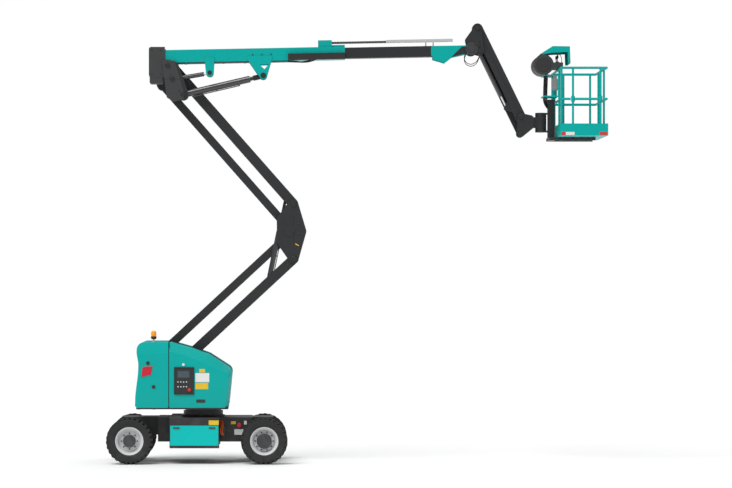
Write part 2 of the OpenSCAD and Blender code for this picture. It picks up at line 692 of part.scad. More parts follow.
level_rod_from = 110;
module level_cylinder() color(black) barrel(level_foot, level_head, boom_y, level_barrel_l,
    level_barrel_d, level_rod_d, level_barrel_d);
module level_rod() color(silver) rod(level_foot, level_head, boom_y, level_rod_from, level_rod_d,
    level_barrel_d, 2 * cyl_pin_d);

// Main boom, drawn along local X from its pivot with local Z across it
lug_r = 62;
lift_root = [-230, 120];
level_root = [-50, 50];
root_share = 0.25;
window_corners = [[-54, 176], [20, 102], [92, 176]];
mouth_pad_l = 60;
pad_gap = 0.5;
boom_front = outer_boom_l - boom_heel;
boom_top = boom_axis_rise + outer_boom_h / 2;
boom_low = boom_axis_rise - outer_boom_h / 2;
module boom_frame() along(boom_pivot, boom_pivot + boom_dir, boom_y) children();
module lug(eye_at, root) for (side = [-1, 1]) plate(side * (outer_boom_w + lug_t) / 2 - lug_t / 2, lug_t)
    rounded([eye_at, [eye_at[0] + root[1], boom_axis_rise - root_share * outer_boom_h],
        [eye_at[0] + root[0], boom_axis_rise - root_share * outer_boom_h]], [lug_r, lug_r / 2, lug_r / 2]);
module outer_boom() color(teal) boom_frame() difference() {
    union() {
        translate([-boom_heel, 0, boom_axis_rise])
            box_tube(outer_boom_l, outer_boom_w, outer_boom_h, boom_wall);
        for (side = [-1, 1]) plate(side * (outer_boom_w - lug_t) / 2 - lug_t / 2, lug_t)
            rounded([[0, 0], [2 * lug_r, boom_low], [-lug_r / 2, boom_low]],
                [lug_r, lug_r / 2, lug_r / 2]);
        translate([boom_front - mouth_pad_l, 0, boom_axis_rise]) difference() {
            translate([0, -outer_boom_w / 2, -outer_boom_h / 2])
                cube([mouth_pad_l, outer_boom_w, outer_boom_h]);
            translate([-cut, -inner_boom_w / 2 - pad_gap, -inner_boom_h / 2 - pad_gap])
                cube([mouth_pad_l + 2 * cut, inner_boom_w + 2 * pad_gap, inner_boom_h + 2 * pad_gap]);
        }
        lug(lift_lug_at, lift_root);
        lug(level_lug_at, level_root);
    }
    cross_pin([0, 0], -outer_boom_w, 2 * outer_boom_w, cyl_pin_d + 2 * pin_gap);
    plate(-outer_boom_w, 2 * outer_boom_w) translate(lift_lug_at) polygon(window_corners);
}
tray_h = 104;
tray_w = 60;
tray_l = 920;
module boom_tray() color(black) boom_frame()
    translate([boom_front - tray_l, -outer_boom_w / 2 - tray_w, boom_low]) cube([tray_l, tray_w, tray_h]);
inner_from = 1500;
inner_to = 4330;
module inner_boom() color(black) boom_frame()
    translate([inner_from, 0, boom_axis_rise])
        box_tube(inner_to - inner_from, inner_boom_w, inner_boom_h, boom_wall);
nose_back = 40;
nose_half = 50;
nose_corner_r = 36;
nose_low_at = [190, -78];
nose_eye_r = 60;
module boom_nose() color(teal) boom_frame() difference() {
    union() {
        for (side = [-1, 1]) plate(side * (inner_boom_w + lug_t) / 2 - lug_t / 2, lug_t)
            rounded([[inner_to - nose_back, boom_axis_rise - nose_half],
                [inner_to + nose_low_at[0], boom_axis_rise + nose_low_at[1]],
                [boom_reach, boom_axis_rise + nose_pin_rise],
                    [inner_to - nose_back, boom_axis_rise + nose_half]],
                [nose_corner_r, nose_corner_r, nose_eye_r, nose_corner_r]);
        translate([inner_to, -inner_boom_w / 2, boom_axis_rise - nose_half - nose_corner_r])
            cube([nose_low_at[0], inner_boom_w, 2 * (nose_half + nose_corner_r)]);
        cross_pin([boom_reach, boom_axis_rise + nose_pin_rise], -inner_boom_w / 2, inner_boom_w,
            2 * cyl_pin_d);
    }
    cross_pin([boom_reach, boom_axis_rise + nose_pin_rise], -inner_boom_w, 2 * inner_boom_w,
        cyl_pin_d + 2 * pin_gap);
}

// Energy chain: a guide on the boom, a loop that runs at half speed and a run fixed to a tray
chain_w = 90;
chain_h = 30;
chain_bend_r = 40;
chain_x = 2600;
chain_anchor_x = 3532;
chain_tray_l = 1080;
chain_tray_h = 44;
guide_t = 4;
guard_t = 6;
guard_back = 162;
guard_l = 219;
guard_h = 112;
leg_x = [4170, 4290];
leg_t = 16;
chain_low = boom_top + guide_t + seat_gap;
cheek_t = 12;
cheek_gap = 5;
chain_link_w = chain_w - 2 * (cheek_t + cheek_gap);
loop_r = chain_bend_r - cheek_gap;
loop_pin_d = 10;
module chain_guide() boom_frame() {
    color(black) translate([chain_x - guard_back - guard_l, -chain_w / 2, boom_top])
        cube([boom_front - chain_x + guard_back + guard_l, chain_w, guide_t]);
    color(black) translate([chain_x, -chain_link_w / 2, boom_top + guide_t - cut])
        cube([boom_front - chain_x, chain_link_w, chain_h + cut]);
    color(teal) for (side = [-1, 1]) translate([chain_x - guard_back,
        side * (chain_w / 2 + side_gap + guard_t / 2) - guard_t / 2, boom_top])
        cube([guard_l, guard_t, guard_h]);
}
module chain_run() color(black) boom_frame()
    translate([chain_x + seat_gap, -chain_link_w / 2, chain_low + 2 * chain_bend_r - chain_h])
        cube([chain_anchor_x - chain_x - 2 * seat_gap, chain_link_w, chain_h]);
module chain_loop() color(black) boom_frame() translate([chain_x, 0, chain_low + chain_bend_r]) {
    for (side = [-1, 1]) translate([0, side * (chain_w - cheek_t) / 2 - cheek_t / 2, 0]) difference() {
        cross_pin([0, 0], 0, cheek_t, 2 * loop_r);
        translate([loop_pin_d, -cut, -loop_r]) cube([loop_r, cheek_t + 2 * cut, 2 * loop_r]);
    }
    cross_pin([0, 0], -chain_w / 2 + cut, chain_w - 2 * cut, loop_pin_d);
}
module chain_tray() color(silver) boom_frame() {
    tray_z = chain_low + 2 * chain_bend_r - chain_h;
    translate([chain_anchor_x, -chain_w / 2, tray_z]) cube([chain_tray_l, chain_w, chain_tray_h]);
    for (x = leg_x) translate([x, -chain_w / 2, boom_axis_rise + inner_boom_h / 2])
        cube([leg_t, chain_w, tray_z - boom_axis_rise - inner_boom_h / 2 + cut]);
}

// Jib knuckle, arm, links and end bracket
jib_link_t = 20;
jib_link_depth = 90;
jib_plate_t = 12;
jib_link_near = jib_w / 2 + side_gap;
jib_plate_y = jib_link_near + jib_link_t + side_gap;
jib_pin_d = 44;
knuckle_heel = [-34, 150];
jib_r = 60;
module jib_plates(points) for (side = [-1, 1])
    plate(boom_y + side * (jib_plate_y + jib_plate_t / 2) - jib_plate_t / 2, jib_plate_t)
    rounded(points, [for (p = points) jib_r]);
module jib_pin(p) cross_pin(p, boom_y - jib_plate_y - jib_plate_t - side_gap,
    2 * (jib_plate_y + jib_plate_t + side_gap), jib_pin_d);
module jib_knuckle() color(charcoal) {
    jib_plates([knuckle_pin, jib_cyl_foot, jib_arm_top, knuckle_pin + knuckle_heel]);
    for (p = [jib_arm_top, jib_link_top]) jib_pin(p);
    for (side = [-1, 1]) plate(boom_y + side * (jib_lug_y + jib_lug_t / 2) - jib_lug_t / 2, jib_lug_t)
        rounded([jib_link_top, jib_cyl_foot], [jib_lug_r, jib_lug_r]);
    cross_pin(jib_cyl_foot, boom_y - jib_lug_y - jib_lug_t, 2 * (jib_lug_y + jib_lug_t), cyl_pin_d);
    cross_pin(knuckle_pin, boom_y - jib_plate_y - jib_plate_t, 2 * (jib_plate_y + jib_plate_t), cyl_pin_d);
}
jib_barrel_d = 76;
jib_lug_t = 10;
jib_lug_y = jib_barrel_d / 2 + side_gap;
jib_lug_r = 48;
throat_from = 110;
throat_w = jib_w - 2 * boom_wall;
belly_from = 440;
belly_to = 1500;
module jib_arm() color(charcoal) along(jib_arm_top, jib_arm_end, boom_y) difference() {
    union() {
        box_tube(jib_l, jib_w, jib_depth, boom_wall);
        for (x = [0, jib_l]) cross_pin([x, 0], -jib_w / 2, jib_w, jib_depth);
        for (side = [-1, 1]) plate(side * (jib_lug_y + jib_lug_t / 2) - jib_lug_t / 2, jib_lug_t)
            rounded([[jib_cyl_along, -jib_cyl_off], [jib_cyl_along + 2 * jib_lug_r, -jib_lug_r],
                [jib_cyl_along - 2 * jib_lug_r, -jib_lug_r]],
                [jib_lug_r, jib_lug_r / 2, jib_lug_r / 2]);
    }
    for (x = [0, jib_l]) cross_pin([x, 0], -jib_w, 2 * jib_w, jib_pin_d + 2 * pin_gap);
    translate([belly_from - cut, -jib_lug_y, -jib_depth])
        cube([belly_to - belly_from, 2 * jib_lug_y, jib_depth - boom_wall]);
    translate([throat_from, -throat_w / 2, -jib_depth])
        cube([belly_from - throat_from, throat_w, jib_depth - boom_wall]);
}
module jib_link() color(charcoal) along(jib_link_top, jib_link_end, boom_y) difference() {
    plate(jib_link_near, jib_link_t)
        rounded([[0, 0], [jib_l, 0]], [jib_link_depth / 2, jib_link_depth / 2]);
    for (x = [0, jib_l]) cross_pin([x, 0], -jib_plate_y, 2 * jib_plate_y, jib_pin_d + 2 * pin_gap);
}

jib_rod_d = 40;
jib_barrel_l = 800;
jib_rod_from = 110;
module jib_cylinder() color(black) barrel(jib_cyl_foot, jib_cyl_head, boom_y, jib_barrel_l,
    jib_barrel_d, jib_rod_d, jib_barrel_d);
module jib_rod() color(silver) rod(jib_cyl_foot, jib_cyl_head, boom_y, jib_rod_from, jib_rod_d,
    jib_barrel_d, jib_barrel_d);
rotator_d = 180;
rotator_h = 260;
web_l = 220;
web_w = 140;
web_h = 170;
tie_l = 60;
bracket_back = 180;
module platform_bracket() color(charcoal) {
    jib_plates([jib_arm_end, jib_link_end, [rotator_x - bracket_back, rotator_z - web_h / 2 + jib_r / 2],
        [rotator_x - bracket_back, rotator_z + web_h / 2 - jib_r / 2]]);
    for (p = [jib_arm_end, jib_link_end]) jib_pin(p);
    translate([rotator_x, boom_y, rotator_z - rotator_h / 2]) cylinder(d = rotator_d, h = rotator_h);
    translate([rotator_x - web_l, boom_y - web_w / 2, rotator_z - web_h / 2]) cube([web_l, web_w, web_h]);
    translate([rotator_x - web_l, boom_y - jib_plate_y - cut, rotator_z - web_h / 4])
        cube([tie_l, 2 * (jib_plate_y + cut), web_h / 2]);
}

// Platform support: a fork over the rotator, a post and two floor beams
post_x = 111;
post_l = 108;
post_w = 120;
post_low = 50;
post_h = 666;
arm_gap = 0.3;
beam_l = 640;
beam_w = 60;
beam_h = 50;
beam_y = 200;
module platform_support() color(black) {
    translate([rotator_x, boom_y, rotator_z]) for (side = [-1, 1]) {
        z = side > 0 ? rotator_h / 2 + arm_gap : -rotator_h / 2 - arm_gap - fork_t;
        translate([0, 0, z]) cylinder(d = rotator_d, h = fork_t);
        translate([0, -post_w / 2, z]) cube([post_x + cut, post_w, fork_t]);
    }
    translate([rotator_x + post_x, boom_y - post_w / 2, floor_z - post_low])
        cube([post_l, post_w, post_h]);
    translate([rotator_x + post_x, boom_y - beam_y - beam_w / 2, floor_z - beam_h])
        cube([post_l, 2 * beam_y + beam_w, beam_h - seat_gap]);
    for (side = [-1, 1]) translate([rotator_x + post_x, boom_y + side * beam_y - beam_w / 2,
        floor_z - beam_h])
        cube([beam_l + post_l, beam_w, beam_h]);
}

// Platform floor, a tray with a toe board
floor_t = 30;
toe_t = 4;
module in_platform() translate([platform_rear_x, boom_y, floor_z]) children();
module platform_floor() color(teal) in_platform() difference() {
    translate([0, -platform_w / 2, 0]) cube([platform_l, platform_w, toe_h]);
    translate([toe_t, -platform_w / 2 + toe_t, floor_t])
        cube([platform_l - 2 * toe_t, platform_w - 2 * toe_t, toe_h]);
}

// Guard rails of bent tube; the near side has a bar that slides up its posts
rail_in = toe_t + rail_d / 2 + seat_gap;
rail_near_y = -platform_w / 2 + rail_in;
rail_rear_x = rail_in;
rail_front_x = platform_l - rail_in;
rail_top_z = rail_h - rail_d / 2;
rail_mid_z = 582;
gate_posts = [207, 645];
inner_post_share = 0.25;
module tube_x(x0, x1, y, z) translate([x0, y, z]) rotate([0, 90, 0]) cylinder(d = rail_d, h = x1 - x0);
module tube_y(y0, y1, x, z) translate([x, y0, z]) rotate([-90, 0, 0]) cylinder(d = rail_d, h = y1 - y0);
weld = 1.2;
post_d = rail_d - 4 * weld;
module post(x, y, z0, z1) translate([x, y, z0]) cylinder(d = post_d, h = z1 - z0);
module elbow(x, z) translate([x, rail_near_y, z]) {
    sphere(d = rail_d + weld);
    rotate([-90, 0, 0]) cylinder(d = rail_d, h = rail_d);
}
module side_rail(mid_spans) {
    for (x = concat([rail_rear_x], gate_posts)) post(x, rail_near_y, floor_t, rail_top_z);
    for (x = [rail_rear_x, rail_front_x], z = [rail_mid_z, rail_top_z]) elbow(x, z);
    tube_x(rail_rear_x, rail_front_x, rail_near_y, rail_top_z);
    for (span = mid_spans) tube_x(span[0], span[1], rail_near_y, rail_mid_z);
}
module rails_near() color(teal) in_platform()
    side_rail([[rail_rear_x, gate_posts[0] - sleeve_d / 2 - side_gap],
    [gate_posts[1] + sleeve_d / 2 + side_gap, rail_front_x]]);
module rails_far() color(teal) in_platform() far_side() side_rail([[rail_rear_x, rail_front_x]]);
module end_rail(x) {
    for (z = [rail_mid_z, rail_top_z]) tube_y(rail_near_y + rail_d, -rail_near_y - rail_d, x, z);
    for (side = [-1, 1]) post(x, side * inner_post_share * platform_w, floor_t, rail_top_z);
}
module rails_front() color(teal) in_platform() end_rail(rail_front_x);
module rails_rear() color(teal) in_platform() end_rail(rail_rear_x);
sleeve_d = 60;
sleeve_h = 90;
module platform_gate() color(teal) in_platform() difference() {
    union() {
        for (x = gate_posts) translate([x, rail_near_y, rail_mid_z - sleeve_h / 2])
            cylinder(d = sleeve_d, h = sleeve_h);
        tube_x(gate_posts[0], gate_posts[1], rail_near_y, rail_mid_z);
    }
    for (x = gate_posts) translate([x, rail_near_y, 0]) cylinder(d = post_d + 2 * pin_gap, h = rail_h);
}

// Platform console with a rounded back, seated on the rear top rail
console_w = 460;
console_y = -150;
console_back = [-226, 57];
console_back_r = 162;
desk_h = 92;
desk_back = -64;
console_front = 84;
module console() color(charcoal) in_platform() plate(console_y - console_w / 2, console_w)
    translate([0, rail_h]) {
    polygon([[console_back[0], seat_gap], [console_front, seat_gap],
        [console_front, desk_h], [desk_back, desk_h],
        [console_back[0], console_back[1] + console_back_r]]);
    translate(console_back) circle(r = console_back_r);
}
guard_r = 4;
guard_foot_x = console_back[0];
guard_foot = [guard_foot_x, console_back[1] + console_back_r + guard_r + seat_gap];
guard_brow = [-270, 230];
guard_crest = [-80, 350];
guard_shoulder = [190, 346];
guard_end = [200, 80];
guard_path = [guard_foot, guard_brow, guard_crest, guard_shoulder, guard_end];
module console_guard() color(teal) in_platform() plate(console_y - console_w / 2, console_w)
    translate([0, rail_h])
    for (i = [0:len(guard_path) - 2]) rounded([guard_path[i], guard_path[i + 1]], [guard_r, guard_r]);

placed() chassis_frame();
placed() steer_axle();
placed() drive_axle();
placed() battery_box_near();
placed() battery_box_far();
placed() slew_ring();
placed() steer_knuckle_near();
placed() steer_knuckle_far();
placed() rim_steer_near();
placed() tyre_steer_near();
placed() rim_steer_far();
placed() tyre_steer_far();
placed() rim_drive_near();
placed() tyre_drive_near();
placed() rim_drive_far();
placed() tyre_drive_far();
placed() turntable_frame();
placed() tail_cover();
placed() counterweight();
placed() hood_near();
placed() hood_far();
placed() control_panel();
placed() beacon();
placed() lower_arm();
placed() lower_link();
placed() riser_knuckle();
placed() upper_arm();
placed() upper_link();
placed() riser_head();
placed() head_cover();
placed() riser_cylinder();
placed() riser_rod();
placed() outer_boom();
placed() boom_tray();
placed() lift_cylinder();
placed() lift_rod();
placed() level_cylinder();
placed() level_rod();
placed() inner_boom();
placed() boom_nose();
placed() chain_guide();
placed() chain_tray();
placed() chain_run();
placed() chain_loop();
placed() jib_knuckle();
placed() jib_arm();
placed() jib_link();
placed() jib_cylinder();
placed() jib_rod();
placed() platform_bracket();
placed() platform_support();
placed() platform_floor();
placed() rails_near();
placed() rails_far();
placed() rails_front();
placed() rails_rear();
placed() platform_gate();
placed() console();
placed() console_guard();
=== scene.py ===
# Articulating boom lift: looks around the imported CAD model. Metres, X forward, Z up, the near side at -Y.
import json
import math

import bmesh
import bpy
from mathutils import Matrix, Vector


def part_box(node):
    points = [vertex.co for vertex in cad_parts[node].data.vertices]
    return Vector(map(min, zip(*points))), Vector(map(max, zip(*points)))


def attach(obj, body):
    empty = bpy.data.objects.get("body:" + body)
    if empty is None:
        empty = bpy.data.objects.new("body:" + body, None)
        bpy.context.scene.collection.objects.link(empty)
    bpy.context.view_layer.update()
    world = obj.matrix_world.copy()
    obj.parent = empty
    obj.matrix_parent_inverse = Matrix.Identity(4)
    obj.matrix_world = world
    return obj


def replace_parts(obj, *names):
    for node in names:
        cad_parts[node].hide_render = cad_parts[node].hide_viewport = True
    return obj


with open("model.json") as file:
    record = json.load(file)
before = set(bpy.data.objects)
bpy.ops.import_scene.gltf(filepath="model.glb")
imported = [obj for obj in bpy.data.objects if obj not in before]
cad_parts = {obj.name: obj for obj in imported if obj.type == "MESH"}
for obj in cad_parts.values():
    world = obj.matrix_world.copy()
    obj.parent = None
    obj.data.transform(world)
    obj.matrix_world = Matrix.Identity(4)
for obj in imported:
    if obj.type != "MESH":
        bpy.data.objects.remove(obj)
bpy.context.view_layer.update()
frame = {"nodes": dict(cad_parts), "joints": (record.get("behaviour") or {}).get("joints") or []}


# Driven and steered tyres: solid black rubber, moulded with a plain sidewall, a raised ring and
# deep shoulder lugs that are set half a pitch apart on the two sides.
class Shade:
    """A socket in one material. Sums and products of these add Math nodes."""

    def __init__(self, tree, socket=None):
        self.tree, self.socket = tree, socket

    def node(self, kind, settings=None, inputs=None, output=0):
        made = self.tree.nodes.new(kind)
        for name, value in (settings or {}).items():
            setattr(made, name, value)
        for name, value in (inputs or {}).items():
            if isinstance(value, Shade):
                self.tree.links.new(value.socket, made.inputs[name])
            else:
                made.inputs[name].default_value = value
        return Shade(self.tree, made.outputs[output])

    def maths(self, operation, first, second):
        return self.node("ShaderNodeMath", {"operation": operation}, {0: first, 1: second})

    def __add__(self, other):
        return self.maths("ADD", self, other)

    __radd__ = __add__

    def __mul__(self, other):
        return self.maths("MULTIPLY", self, other)

    __rmul__ = __mul__

    def __sub__(self, other):
        return self.maths("SUBTRACT", self, other)

    def __rsub__(self, other):
        return self.maths("SUBTRACT", other, self)


def noise(place, scale, detail=3.0):
    return place.node("ShaderNodeTexNoise", None, {"Vector": place, "Scale": scale, "Detail": detail})


def between(value, low, high):
    """0 below low, 1 above high, and a straight ramp between them."""
    return value.node("ShaderNodeMapRange", {"clamp": True}, {"Value": value, "From Min": low, "From Max": high})


def blended(amount, first, second):
    return amount.node("ShaderNodeMix", {"data_type": "RGBA"}, {0: amount, 6: first, 7: second}, 2)


def new_finish(name):
    """An empty material: its Principled shader and a Shade that holds the object's own coordinates."""
    finish = bpy.data.materials.new(name)
    finish.use_nodes = True
    tree = finish.node_tree
    shader = tree.nodes["Principled BSDF"]
    place = Shade(tree).node("ShaderNodeTexCoord", None, None, 3)
    return finish, shader, place


def feed(shade, shader, name):
    shade.tree.links.new(shade.socket, shader.inputs[name])


def rubber_finish():
    finish, shader, place = new_finish("tyre rubber")
    height = place.node("ShaderNodeSeparateXYZ", None, {0: place}, 2)
    dust = between(noise(place, 9.0, 6.0), 0.42, 0.75) * (1.0 - between(height, 0.05, 0.7)) * 0.35
    feed(blended(dust, (0.012, 0.012, 0.013, 1), (0.075, 0.07, 0.062, 1)), shader, "Base Color")
    feed(0.62 + 0.25 * noise(place, 40.0), shader, "Roughness")
    grain = place.node("ShaderNodeBump", None, {"Strength": 0.25, "Distance": 0.002, "Height": noise(place, 160.0)})
    feed(grain, shader, "Normal")
    return finish


def add_piece(name, bm, finish, body):
    """Makes a mesh object of bm that moves with a body of the machine."""
    name = name.replace(" ", "_")
    mesh = bpy.data.meshes.new(name)
    bm.to_mesh(mesh)
    bm.free()
    made = bpy.data.objects.new(name, mesh)
    bpy.context.scene.collection.objects.link(made)
    mesh.materials.append(finish)
    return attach(made, body)


def soften(bm, edges, width, steps=2):
    """Rounds these edges."""
    bmesh.ops.bevel(bm, geom=edges, offset=width, affect="EDGES", segments=steps, profile=0.5, material=-1)


def block(bm, low, high, edge=0.0):
    """A box between two corners, with rounded edges."""
    low, high = Vector(low), Vector(high)
    place = Matrix.Translation((low + high) / 2) @ Matrix.Diagonal((*(high - low), 1))
    made = bmesh.ops.create_cube(bm, size=1, matrix=place)["verts"]
    if edge:
        soften(bm, list({e for v in made for e in v.link_edges}), edge)


WHEELS = ("steer_near", "steer_far", "drive_near", "drive_far")
RUBBER = rubber_finish()
TREAD_HALF = 0.1249
LUG_COUNT = 28
LUG_SIZE = (0.046, 0.105, 0.05)
LUG_Y = 0.0715
LUG_SKEW = 0.16
LUG_TIP_GAP = 0.0008
TYRE_SECTION = [(0.214, 0.094), (0.232, 0.112), (0.262, 0.121), (0.300, 0.1235), (0.318, 0.1245),
                (0.326, 0.1245), (0.331, 0.121), (0.342, 0.113), (0.345, 0.06), (0.345, 0.0)]
for wheel in WHEELS:
    low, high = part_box("tyre_" + wheel)
    centre = (low + high) / 2
    reach = (high.z - low.z) / 2 - LUG_TIP_GAP
    bm = bmesh.new()
    half = [bm.verts.new((r, y, 0)) for r, y in TYRE_SECTION]
    other = [bm.verts.new((r, -y, 0)) for r, y in reversed(TYRE_SECTION[:-1])]
    ring = half + other
    edges = [bm.edges.new(pair) for pair in zip(ring, ring[1:])]
    bmesh.ops.spin(bm, geom=ring + edges, cent=(0, 0, 0), axis=(0, 1, 0), angle=math.tau, steps=72,
                   use_merge=True)
    bmesh.ops.recalc_face_normals(bm, faces=bm.faces)
    for side in (-1, 1):
        for i in range(LUG_COUNT):
            angle = math.tau * (i + (0.25 if side > 0 else -0.25)) / LUG_COUNT
            place = Matrix.Rotation(angle, 4, "Y") @ Matrix.Translation((0, side * LUG_Y, reach - LUG_SIZE[2] / 2))
            place = place @ Matrix.Rotation(side * LUG_SKEW, 4, "Z") @ Matrix.Diagonal((*LUG_SIZE, 1))
            lug = bmesh.ops.create_cube(bm, size=1, matrix=place)["verts"]
            soften(bm, list({e for v in lug for e in v.link_edges}), 0.005, 1)
    for vert in bm.verts:
        vert.co.y = max(-TREAD_HALF, min(TREAD_HALF, vert.co.y))
    bmesh.ops.translate(bm, verts=bm.verts, vec=centre)
    for face in bm.faces:
        face.smooth = len(face.verts) == 4 and face.calc_area() > 0.0004 and abs(face.normal.y) < 0.98
    tyre = add_piece("tyre " + wheel, bm, RUBBER, "wheel_" + wheel)
    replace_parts(tyre, "tyre_" + wheel)


# Rims: pressed steel discs welded into rolled bands, painted silver-white. They are bolted to the
# black cast hubs of the two axles.
def painted(name, colour, rough=0.35, mottle=0.08, dust=0.25, coat=0.3, edge=0.004, gloss=0.5):
    """Sprayed machine paint: faint mottling, orange peel, road dust low down and softened edges."""
    finish, shader, place = new_finish(name)
    shader.inputs["Coat Roughness"].default_value = 0.12
    height = place.node("ShaderNodeSeparateXYZ", None, {0: place}, 2)
    tone = noise(place, 1.7, 4.0)
    dark = (*(c * (1 - 2 * mottle) for c in colour), 1)
    light = (*(min(1, c * (1 + mottle)) for c in colour), 1)
    grime = between(noise(place, 5.0, 6.0), 0.45, 0.8) * (1.0 - between(height, 0.1, 1.3)) * dust
    feed(blended(grime, blended(tone, dark, light), (0.2, 0.185, 0.16, 1)), shader, "Base Color")
    feed(rough + 0.14 * noise(place, 14.0) + 0.3 * grime, shader, "Roughness")
    shader.inputs["Coat Weight"].default_value = coat
    shader.inputs["Specular IOR Level"].default_value = gloss
    softened = place.node("ShaderNodeBevel", {"samples": 4}, {"Radius": edge})
    peel = place.node("ShaderNodeBump", None, {"Strength": 0.06, "Distance": 0.001,
                                               "Height": noise(place, 240.0), "Normal": softened})
    feed(peel, shader, "Normal")
    return finish


def finish_nodes(finish, *nodes):
    for name in nodes:
        mesh = frame["nodes"][name].data
        mesh.materials.clear()
        mesh.materials.append(finish)
        mesh.polygons.foreach_set("material_index", [0] * len(mesh.polygons))


RIM_SILVER = painted("rim silver", (0.66, 0.67, 0.68), 0.3, 0.04, 0.3, 0.4)
HUB_BLACK = painted("hub black", (0.02, 0.02, 0.022), 0.25, 0.1, 0.2, 0.5)
for wheel in WHEELS:
    finish_nodes(RIM_SILVER, "rim_" + wheel)


# Hub caps and wheel nuts: a flat disc closes the dish of each rim round a cast black hub, which is
# held by a ring of hexagon nuts on studs and closed by a bolted cap.
def drum(bm, start, end, radius, sides=24, edge=0.0):
    """A round bar between two points, with chamfered ends."""
    start, end = Vector(start), Vector(end)
    along = end - start
    place = Matrix.Translation((start + end) / 2) @ along.to_track_quat("Z", "Y").to_matrix().to_4x4()
    made = bmesh.ops.create_cone(bm, cap_ends=True, segments=sides, radius1=radius, radius2=radius,
                                 depth=along.length, matrix=place)["verts"]
    if edge:
        rims = [e for e in {e for v in made for e in v.link_edges} if any(len(f.verts) > 4 for f in e.link_faces)]
        soften(bm, rims, edge)


def stub(bm, x, z, y0, y1, radius, sides=24, edge=0.0):
    """A round bar across the machine."""
    drum(bm, (x, y0, z), (x, y1, z), radius, sides, edge)


DISH_DEPTH = 0.118
NUT_RING = 0.026
for wheel in WHEELS:
    hub_radius, nuts = (0.100, 8) if wheel.startswith("steer") else (0.120, 10)
    low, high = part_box("rim_" + wheel)
    x, z = ((low + high) / 2).x, ((low + high) / 2).z
    out = -1 if wheel.endswith("near") else 1
    face_y = (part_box("tyre_" + wheel)[0 if out < 0 else 1]).y
    dish_y = face_y - out * DISH_DEPTH
    bm = bmesh.new()
    stub(bm, x, z, dish_y - out * 0.02, dish_y + out * 0.024, hub_radius + 0.048, 48, 0.008)
    add_piece("rim disc " + wheel, bm, RIM_SILVER, "wheel_" + wheel)
    bm = bmesh.new()
    stub(bm, x, z, dish_y, dish_y + out * 0.1005, hub_radius + 0.0015, 40, 0.011)
    stub(bm, x, z, dish_y + out * 0.09, dish_y + out * 0.110, hub_radius * 0.55, 32, 0.004)
    for i in range(nuts):
        angle = math.tau * i / nuts
        arm = Vector((math.cos(angle), 0, math.sin(angle)))
        spot = Vector((x, dish_y, z)) + arm * (hub_radius + NUT_RING)
        drum(bm, spot - Vector((0, 0.004 * out, 0)), spot + Vector((0, 0.046 * out, 0)), 0.0135, 6)
        if i % 2 == 0:
            cap = Vector((x, dish_y + out * 0.100, z)) + arm * hub_radius * 0.78
            drum(bm, cap, cap + Vector((0, 0.008 * out, 0)), 0.008, 6)
    add_piece("hub " + wheel, bm, HUB_BLACK, "wheel_" + wheel)


# Chassis: a welded box of thick plate with necks over the two axles, sprayed dark grey with the axle
# beams. The steering knuckles, the slew ring and the turntable frame are painted black.
CHARCOAL = painted("charcoal paint", (0.024, 0.025, 0.027), 0.42, 0.12, 0.3, 0.1, gloss=0.35)
BLACK = painted("black paint", (0.013, 0.013, 0.014), 0.4, 0.12, 0.3, 0.2)
finish_nodes(CHARCOAL, "chassis_frame", "steer_axle", "drive_axle")
finish_nodes(BLACK, "steer_knuckle_near", "steer_knuckle_far", "slew_ring", "turntable_frame")


# Blank plates and small controls on the chassis side: painted sheet screwed to the plate, a red
# mushroom stop button on a black collar, and orange battery leads that drop into a black socket block.
def flat_colour(name, colour, rough=0.45):
    finish, shader, place = new_finish(name)
    tone = noise(place, 6.0)
    feed(blended(tone, (*(c * 0.88 for c in colour), 1), (*colour, 1)), shader, "Base Color")
    feed(rough + 0.12 * noise(place, 60.0), shader, "Roughness")
    return finish


PLATE_YELLOW = flat_colour("plate yellow", (0.80, 0.52, 0.02))
PLATE_WHITE = flat_colour("plate white", (0.78, 0.78, 0.76))
STOP_RED = flat_colour("stop red", (0.62, 0.02, 0.02), 0.3)
LEAD_ORANGE = flat_colour("lead orange", (0.75, 0.12, 0.02), 0.4)


def hose(name, points, radius, finish, body):
    """A flexible tube on a smooth curve through the points."""
    curve = bpy.data.curves.new(name, "CURVE")
    curve.dimensions = "3D"
    curve.bevel_depth, curve.bevel_resolution, curve.resolution_u = radius, 2, 8
    curve.use_fill_caps = True
    line = curve.splines.new("BEZIER")
    line.bezier_points.add(len(points) - 1)
    for knot, point in zip(line.bezier_points, points):
        knot.co = point
        knot.handle_left_type = knot.handle_right_type = "AUTO"
    drawn = bpy.data.objects.new(name + " line", curve)
    bpy.context.scene.collection.objects.link(drawn)
    bpy.context.view_layer.update()
    mesh = bpy.data.meshes.new_from_object(drawn.evaluated_get(bpy.context.evaluated_depsgraph_get()))
    bpy.data.objects.remove(drawn)
    bm = bmesh.new()
    bm.from_mesh(mesh)
    bpy.data.meshes.remove(mesh)
    for face in bm.faces:
        face.smooth = True
    return add_piece(name, bm, finish, body)


SIDE_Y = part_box("chassis_frame")[0].y
RIGHT_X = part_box("battery_box_near")[1].x
SHEET = 0.006
STOP_X, STOP_Z = RIGHT_X + 0.318, 0.612
bm = bmesh.new()
block(bm, (RIGHT_X + 0.185, SIDE_Y - SHEET, 0.625), (RIGHT_X + 0.262, SIDE_Y, 0.672), 0.002)
add_piece("chassis plate yellow", bm, PLATE_YELLOW, "chassis")
bm = bmesh.new()
block(bm, (RIGHT_X + 0.24, SIDE_Y - SHEET, 0.455), (RIGHT_X + 0.385, SIDE_Y, 0.545), 0.002)
block(bm, (RIGHT_X + 0.395, SIDE_Y - SHEET, 0.62), (RIGHT_X + 0.44, SIDE_Y, 0.68), 0.002)
add_piece("chassis plates white", bm, PLATE_WHITE, "chassis")
bm = bmesh.new()
stub(bm, STOP_X, STOP_Z, SIDE_Y - 0.045, SIDE_Y - 0.012, 0.036, 24, 0.010)
